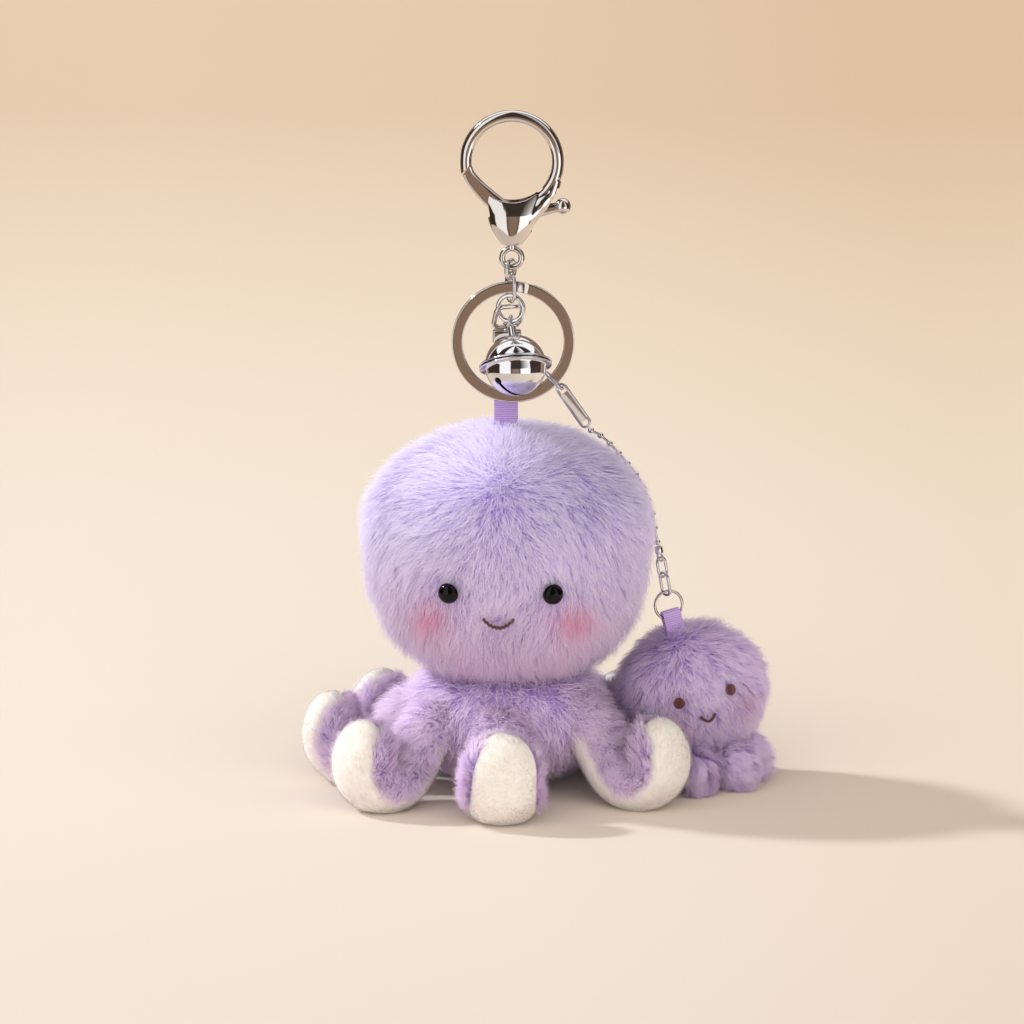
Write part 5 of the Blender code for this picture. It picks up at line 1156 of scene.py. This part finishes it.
STEM_LOW, STEM_HIGH = BULB_BOTTOM + 1.6 * MM, BULB_BOTTOM + 2.8 * MM
swivel = wire_link("swivel_eye_casting", at_plush(CLASP_X, 0, 133.2 * MM), 6.2 * MM, 6.2 * MM, 1.5 * MM, nickel,
                   turned())
combine(swivel, rod("stem", at_plush(CLASP_X, 0, 135.5 * MM), at_plush(CLASP_X, 0, STEM_LOW + 0.1 * MM), 0.85 * MM),
        "UNION")
combine(swivel, rod("stem_head", at_plush(CLASP_X, 0, STEM_LOW), at_plush(CLASP_X, 0, STEM_HIGH), 1.5 * MM),
        "UNION")
finish_metal(swivel, nickel, "eye", "nickel_plate", "swivel_eye")

# ---------------------------------------------------------------- links and split ring
# Bent-wire links in bright chrome join the clasp, the split ring and the bell. The split ring is
# flat spring wire wound in two turns, ground flat on its faces and nickel plated.
LINK_X = 0.9 * MM
links = [("clasp_link_wire", "clasp_link", "link", 130.35, 5.2, 5.5, 1.1, 62),
         ("ring_link_wire", "ring_link", "strap", 125.9, 5.6, 8.0, 0.9, -66),
         ("bell_ring_wire", "bell_ring", "strap", 120.65, 7.5, 7.5, 1.1, -15)]
for name, cad, body, z, width, height, wire, yaw in links:
    piece = wire_link(name, at_plush(LINK_X, 0, z * MM), width * MM, height * MM, wire * MM, chrome,
                      turned(yaw=yaw))
    finish_metal(piece, chrome, body, "chrome_plate", cad)

RING_X, RING_Z, RING_DIAMETER, RING_BAND = 1.5 * MM, 112.3 * MM, 30.0 * MM, 2.6 * MM
RING_LAYER, RING_LAYER_GAP, JOG_ANGLE, JOG_HALF, RING_END = 0.78 * MM, 0.42 * MM, 80, 7, 10
rows = []
for i in range(361):
    degrees = JOG_ANGLE - 360 + RING_END + (720 - 2 * RING_END) * i / 360
    across = max(-1.0, min(1.0, (degrees - JOG_ANGLE) / JOG_HALF))
    out = Vector((math.cos(math.radians(degrees)), 0, math.sin(math.radians(degrees))))
    place = at_plush(RING_X, (RING_LAYER + RING_LAYER_GAP) / 2 * math.sin(across * math.pi / 2),
                     RING_Z) + out * (RING_DIAMETER - RING_BAND) / 2
    rows.append(ring_row(place, out, FRONT, RING_BAND / 2, RING_LAYER / 2, 32, 7.0))
split_ring = loft("split_ring_wire", rows, nickel)
finish_metal(split_ring, nickel, "key_ring", "nickel_plate", "split_key_ring", angle=30)

# ---------------------------------------------------------------- bell
# A jingle bell pressed from two thin steel shells, folded together at the rim and chrome plated,
# with a keyhole slot below and a loose steel pellet inside.
BELL_CENTRE = at_plush(2.1 * MM, -5.1 * MM, 107.4 * MM)
BELL_R, BELL_RIM_R, BELL_WALL, BELL_FLANGE = 7.5 * MM, 8.9 * MM, 0.6 * MM, 0.45 * MM
BELL_TURN = Matrix.Rotation(math.radians(-5), 3, "Y") @ Matrix.Rotation(math.radians(-27), 3, "X")


def make_bell():
    """Two pressings with rolled rims, a post and eyelet on the upper one and the keyhole slot in the lower."""
    low, high = GAP / 2, GAP / 2 + BELL_FLANGE
    inner = BELL_R - BELL_WALL
    start = math.asin((high + 0.25 * MM) / BELL_R)
    profile = [(BELL_R * math.cos(a), BELL_R * math.sin(a)) for a in np.linspace(math.pi / 2, start, 30)]
    profile += [(BELL_R + 0.12 * MM, high + 0.06 * MM), (BELL_R + 0.4 * MM, high)]
    profile += [(BELL_RIM_R - BELL_FLANGE / 2 + BELL_FLANGE / 2 * math.sin(a),
                 (low + high) / 2 + BELL_FLANGE / 2 * math.cos(a)) for a in np.linspace(0, math.pi, 12)]
    profile += [(inner, low)] + [(inner * math.cos(a), low + (inner - low) * math.sin(a))
                                 for a in np.linspace(0.1, math.pi / 2, 18)]
    profile[0], profile[-1] = (0.0, BELL_R), (0.0, inner)
    axis = BELL_TURN @ Vector((0, 0, 1))
    shells = []
    for name, sign in (("bell_upper_pressing", 1), ("bell_lower_pressing", -1)):
        points, faces = lathe(profile, BELL_CENTRE, axis * sign, 96)
        shell = mesh_piece(name, points, faces, chrome)
        tidy_normals(shell)
        shells.append(shell)
    hang = at_plush(LINK_X, 0, 117.3 * MM)
    root = BELL_CENTRE + axis * (BELL_R - BELL_WALL / 2)
    down = (root - hang).normalized()
    post = rod("post", root, hang + down * (0.9 * MM + 0.48 * MM), 1.0 * MM, 48)
    combine(post, wire_link("eyelet", hang, 3.4 * MM, 3.4 * MM, 0.8 * MM, None, turned(yaw=75)), "UNION")
    combine(shells[0], post, "UNION")
    yaw = Matrix.Rotation(math.radians(40), 3, "Z")
    across, along, under = BELL_TURN @ yaw @ Vector((0, 1, 0)), BELL_TURN @ yaw @ Vector((1, 0, 0)), -axis
    half = BELL_R * math.sin(math.acos(0.62))
    middle, depth = BELL_CENTRE + under * (BELL_R * 0.96), BELL_R * 0.34
    corners = ((1, 1), (-1, 1), (-1, -1), (1, -1))
    rows = [[middle + along * (sign * half) + across * (a * 0.45 * MM) + under * (b * depth) for a, b in corners]
            for sign in (-1, 1)]
    combine(shells[1], loft("slot", rows, None), "DIFFERENCE")
    for sign in (-1, 1):
        out = under * 0.62 + along * (sign * math.sin(math.acos(0.62)))
        skin = BELL_CENTRE + out.normalized() * BELL_R
        combine(shells[1], rod("hole", skin - out * 2 * MM, skin + out * 2 * MM, 1.0 * MM, 40), "DIFFERENCE")
    finish_metal(shells[0], chrome, "bell", "chrome_plate", "bell_upper_shell", angle=35)
    finish_metal(shells[1], chrome, "bell", "chrome_plate", "bell_lower_shell", angle=35)


make_bell()

# ---------------------------------------------------------------- strap
# A loop of lilac grosgrain sewn into the crown. A nickel crimp is pressed over its top end and
# hangs on a square-cornered D ring.
D_RING_CENTRE = at_plush(0.3 * MM, 1.7 * MM, 118.3 * MM)
D_TURN = turned(yaw=24, pitch=26)
RIB_PITCH = 0.55 * MM
d_ring = wire_link("strap_d_ring_wire", D_RING_CENTRE, 8.2 * MM, 7.2 * MM, 1.2 * MM, nickel, D_TURN,
                   corner=1.5 * MM)
finish_metal(d_ring, nickel, "strap", "nickel_plate", "strap_d_ring")
CRIMP = (at_plush(-3.5 * MM, 1.6 * MM, 111.5 * MM), at_plush(3.5 * MM, 4.8 * MM, 114.6 * MM))
crimp = block("strap_crimp_pressing", *CRIMP)
soft = crimp.modifiers.new("edges", "BEVEL")
soft.width, soft.segments = 0.45 * MM, 5
bake_modifiers(crimp)
bar = D_RING_CENTRE - D_TURN @ Vector((0, 0, 3.0 * MM))
combine(crimp, wire_link("crimp_loop", bar, 3.2 * MM, 3.2 * MM, 0.7 * MM, None, turned(yaw=114)), "UNION")
combine(crimp, block("crimp_slot", at_plush(-3.5 * MM, 2.1 * MM, 109 * MM),
                     at_plush(3.0 * MM, 4.3 * MM, 113.8 * MM)), "DIFFERENCE")
finish_metal(crimp, nickel, "strap", "nickel_plate", "strap_crimp", angle=30)


def ribbon_material(name, pale, dark):
    """Grosgrain: a close polyester ribbon with a thick cross rib, drawn a little coarser than it is."""
    made, tree, out = new_material(name)
    run = node(tree, "ShaderNodeAttribute", {"attribute_name": "run"}).outputs["Fac"]
    # Painted shade: the colour darkens in the groove between ribs, where the bump sinks; the noise is the weave's
    # own unevenness.
    rib = maths(tree, "SINE", maths(tree, "MULTIPLY", run, math.tau / RIB_PITCH))
    weave_and_groove_shade = maths(tree, "MULTIPLY_ADD", noise(tree, 0.3 * MM, 3.0), 0.3,
                  maths(tree, "MULTIPLY_ADD", rib, 0.35, 0.5))
    principled(tree, out, {"Roughness": 0.55, "Sheen Weight": 0.3, "Specular IOR Level": 0.35},
               {"Base Color": ramp(tree, weave_and_groove_shade, [(0.25, dark), (0.95, pale)]),
                "Normal": bump(tree, weave_and_groove_shade, 0.7, 0.12 * MM)})
    return made


grosgrain = ribbon_material("lilac_polyester_grosgrain", "#C2A4D4", "#A384C5")


def band(name, path, side, width, thickness, material):
    """A flat woven ribbon along a path, with rounded selvedges and its run stored for the ribs."""
    path = [Vector(p) for p in path]
    rows, run, total = [], [], 0.0
    for i, place in enumerate(path):
        along = (path[min(i + 1, len(path) - 1)] - path[max(i - 1, 0)]).normalized()
        total += (place - path[i - 1]).length if i else 0
        rows.append(ring_row(place, side, along.cross(side).normalized(), width / 2, thickness / 2, 28, 8.0))
        run += [total] * 28
    item = loft(name, rows, material)
    item.data.attributes.new("run", "FLOAT", "POINT").data.foreach_set("value", run)
    item.data.shade_smooth()
    item.data.set_sharp_from_angle(angle=math.radians(50))
    return item


foot_z = HEAD_WIDEST + (HEAD_TOP - HEAD_WIDEST) * math.sqrt(1 - (5.0 / 33.2) ** 2)
STRAP_X, STRAP_WIDTH, STRAP_THICKNESS = -0.25 * MM, 5.9 * MM, 0.9 * MM
foot, bow, neck, top = [at_plush(STRAP_X, y, z) for y, z in ((5.0 * MM, foot_z - 2 * MM), (6.0 * MM, 102.5 * MM),
                                                             (3.2 * MM, 111.0 * MM), (3.2 * MM, 113.5 * MM))]
path = [foot * ((1 - s) * (1 - 2 * s)) + bow * (4 * s * (1 - s)) + neck * (s * (2 * s - 1))
        for s in np.linspace(0, 1, 50)] + [neck.lerp(top, 0.5), top]
strap = band("grosgrain_strap", path, Vector((1, 0, 0)), STRAP_WIDTH, STRAP_THICKNESS, grosgrain)
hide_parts("head_ribbon")
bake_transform(strap)

# ---------------------------------------------------------------- hidden clasp and eye parts
# The gate turns on a steel pin against a flat leaf spring in the clasp's slot. Moulded washers
# hold the eyes' posts behind the head's fabric, and a steel pellet lies loose in the bell.
steel = metal("drawn_spring_steel", "#A39C94", 0.22)
white_nylon, tree, out = new_material("moulded_white_nylon")
principled(tree, out, {"Base Color": linear("#DAD8D0"), "Roughness": 0.5})
pivot = at_plush(CLASP_X, 0, GATE_PIVOT_Z)
pin = rod("gate_pin_wire", pivot - FRONT * 3 * MM, pivot + FRONT * 3 * MM, 0.7 * MM)
finish_metal(pin, steel, "clasp", "spring_steel", "gate_pin")
leaf_z = GATE_PIVOT_Z - GATE_ROOT / 2 - GAP - 0.3 * MM
leaf = block("gate_leaf_spring", at_plush(CLASP_X - 2.2 * MM, -0.75 * MM, leaf_z),
             at_plush(CLASP_X + 2.2 * MM, 0.75 * MM, leaf_z + 0.3 * MM))
finish_metal(leaf, steel, "clasp", "spring_steel", "gate_spring")
bell_down = BELL_TURN @ Vector((0, 0, -1))
PELLET_R = 1.8 * MM
rest = BELL_CENTRE + bell_down * (BELL_R - BELL_WALL - PELLET_R - GAP)
pellet = ball("steel_pellet", rest, PELLET_R)
finish_metal(pellet, steel, "pellet", "spring_steel", "bell_pellet")
for name, sign in (("left", -1), ("right", 1)):
    spot, normal = face_point(FACE_X + sign * EYE_SPACING / 2, EYE_Z)
    profile = [(1.1 * MM, -3.2 * MM), (3.0 * MM, -3.2 * MM), (3.0 * MM, -2.4 * MM), (1.1 * MM, -2.4 * MM),
               (1.1 * MM, -3.2 * MM)]
    points, faces = lathe(profile, spot, normal, 40)
    washer = mesh_piece("eye_washer_moulding_" + name, points, faces, white_nylon, smooth=False)
    tidy_normals(washer)
    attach(washer, "plush")
    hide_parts("eye_washer_" + name)

# ---------------------------------------------------------------- ball chain
# Chromed steel ball chain on a folded connector that hangs from a jump ring on the split ring.
# Small beads pressed over a thin core end in a cup, with two bent links down to the baby's ring.
RING_MIDDLE = at_plush(RING_X, 0, RING_Z)
jump = math.radians(-44)
out_way = Vector((math.cos(jump), 0, math.sin(jump)))
band_place = RING_MIDDLE + out_way * (RING_DIAMETER - RING_BAND) / 2
jump_ring = wire_link("chain_jump_ring_wire", band_place + out_way * 0.3 * MM, 4.8 * MM, 6.4 * MM, 0.8 * MM, chrome,
                      turned(yaw=90, slant=-46))
finish_metal(jump_ring, chrome, "strap", "chrome_plate", "chain_jump_ring")

BEAD_R, CORE_R, BEAD_PITCH, CHAIN_SLANT = 0.78 * MM, 0.3 * MM, 3.7 * MM, 10
ROUTE = [(20.6, 1.0, 90.0), (23.4, 3.4, 87.9), (26.4, 5.2, 84.6), (29.3, 6.2, 81.0), (32.0, 6.8, 77.2),
         (34.3, 7.0, 72.6), (35.8, 7.0, 68.0), (36.5, 7.0, 63.8), (37.1, 7.0, 60.6)]
line, run = smooth_line([at_plush(x * MM, y * MM, z * MM) for x, y, z in ROUTE], 12)
chain_length = float(run[-1])
beads = int(round(chain_length / BEAD_PITCH))
spots = [chain_length * i / beads for i in range(beads + 1)]


def on_line(s):
    return Vector([float(np.interp(s, run, line[:, k])) for k in range(3)])


rows = []
for i, s in enumerate(spots):
    place = on_line(s)
    along = (on_line(min(s + 0.4 * MM, chain_length)) - on_line(max(s - 0.4 * MM, 0))).normalized()
    side = along.cross(FRONT).normalized()
    for a in np.radians((-88, -75, -62, -48, -34, -20, -7, 7, 20, 34, 48, 62, 75, 88)):
        size = max(BEAD_R * math.cos(a), CORE_R if 0 < i < beads or (i == 0) == (a > 0) else 0.02 * MM)
        rows.append(ring_row(place + along * (BEAD_R * math.sin(a)), side, side.cross(along), size, size, 24))
chain = loft("ball_chain_beads", rows, chrome)
chain.data.set_sharp_from_angle(angle=math.radians(60))
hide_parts("ball_chain")
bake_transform(chain)

first = on_line(0)
along = (first - band_place - out_way * 1.95 * MM).normalized()
hook_top = band_place + out_way * 1.95 * MM - along * 0.35 * MM
length = (first - hook_top).length - BEAD_R - GAP
middle = hook_top + along * (length / 2)
roll = math.degrees(math.atan2(-along.x, -along.z)) + 180
hook = wire_link("chain_connector", middle, 3.0 * MM, length, 0.7 * MM, chrome, turned(roll=roll))
side = Vector((along.z, 0, -along.x)).normalized()
rows = [ring_row(middle + side * (-1.15 * MM) + along * (length * s), side, FRONT, 0.315 * MM, 0.75 * MM, 24, 5.0)
        for s in np.linspace(-0.32, 0.32, 9)]
combine(hook, loft("connector_fold", rows, None), "UNION")
rows = [ring_row(middle + along * (length * s), side, FRONT, 1.2 * MM, 0.2 * MM, 24, 6.0)
        for s in np.linspace(-0.30, 0.36, 9)]
combine(hook, loft("connector_plate", rows, None), "UNION")
finish_metal(hook, chrome, "strap", "chrome_plate", "chain_hook")

last = on_line(chain_length)
way = (last - on_line(chain_length - 0.4 * MM)).normalized()
cup_top = last + way * (BEAD_R + GAP)
slant = math.radians(CHAIN_SLANT)
down = Vector((math.sin(slant), 0, -math.cos(slant)))
cup = rod("chain_end_cup", cup_top, cup_top + down * 1.9 * MM, 1.0 * MM, 32)
soft = cup.modifiers.new("edges", "BEVEL")
soft.width, soft.segments = 0.25 * MM, 4
bake_modifiers(cup)
loop_centre = cup_top + down * (1.9 * MM + 1.25 * MM - 0.4 * MM)
combine(cup, wire_link("cup_loop", loop_centre, 2.5 * MM, 2.5 * MM, 0.5 * MM, None,
                       turned(yaw=128, slant=-CHAIN_SLANT)), "UNION")
finish_metal(cup, chrome, "plush", "chrome_plate", "chain_cup")
LINK_WIRE = 0.7 * MM
long_top = loop_centre + down * (0.75 * MM - GAP - LINK_WIRE)
short_top = long_top + down * (5.6 * MM - 2 * LINK_WIRE - GAP)
ring_top = short_top + down * (6.4 * MM - LINK_WIRE - 0.7 * MM - GAP)
BABY_RING = ring_top + down * 3.9 * MM
for name, cad, centre, width, height, yaw, finish, body, slot in (
        ("chain_long_link_wire", "chain_long_link", long_top + down * 2.8 * MM, 3.2 * MM, 5.6 * MM, 38, chrome,
         "plush", "chrome_plate"),
        ("chain_short_link_wire", "chain_short_link", short_top + down * 3.2 * MM, 3.1 * MM, 6.4 * MM, -38, chrome,
         "plush", "chrome_plate"),
        ("baby_ring_wire", "baby_ring", BABY_RING, 7.8 * MM, 7.8 * MM, 18, nickel, "baby", "nickel_plate")):
    piece = wire_link(name, centre, width, height, LINK_WIRE, finish, turned(yaw=yaw, slant=-CHAIN_SLANT))
    finish_metal(piece, finish, body, slot, cad)

# ---------------------------------------------------------------- baby's ribbon
# A short loop of the same grosgrain, through the small ring and sewn into the baby's crown.
lean = turned(yaw=18, slant=-13)
side, up_way, back = lean @ Vector((1, 0, 0)), lean @ Vector((0, 0, 1)), lean @ FRONT
bend_r = 1.0 * MM
crest = BABY_RING - up_way * (7.8 * MM - LINK_WIRE) / 2 + up_way * 1.15 * MM
path = [crest - back * bend_r - up_way * (6.9 * MM * s) for s in np.linspace(1, 0, 20, endpoint=False)]
path += [crest - back * (bend_r * math.cos(a)) + up_way * (bend_r * math.sin(a))
         for a in np.linspace(0, math.pi, 17)]
path += [crest + back * bend_r - up_way * (6.9 * MM * s) for s in np.linspace(0, 1, 21)[1:]]
baby_ribbon = band("baby_ribbon_loop", path, side, 4.6 * MM, 0.6 * MM, grosgrain)
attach(baby_ribbon, "baby")
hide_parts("baby_ribbon")
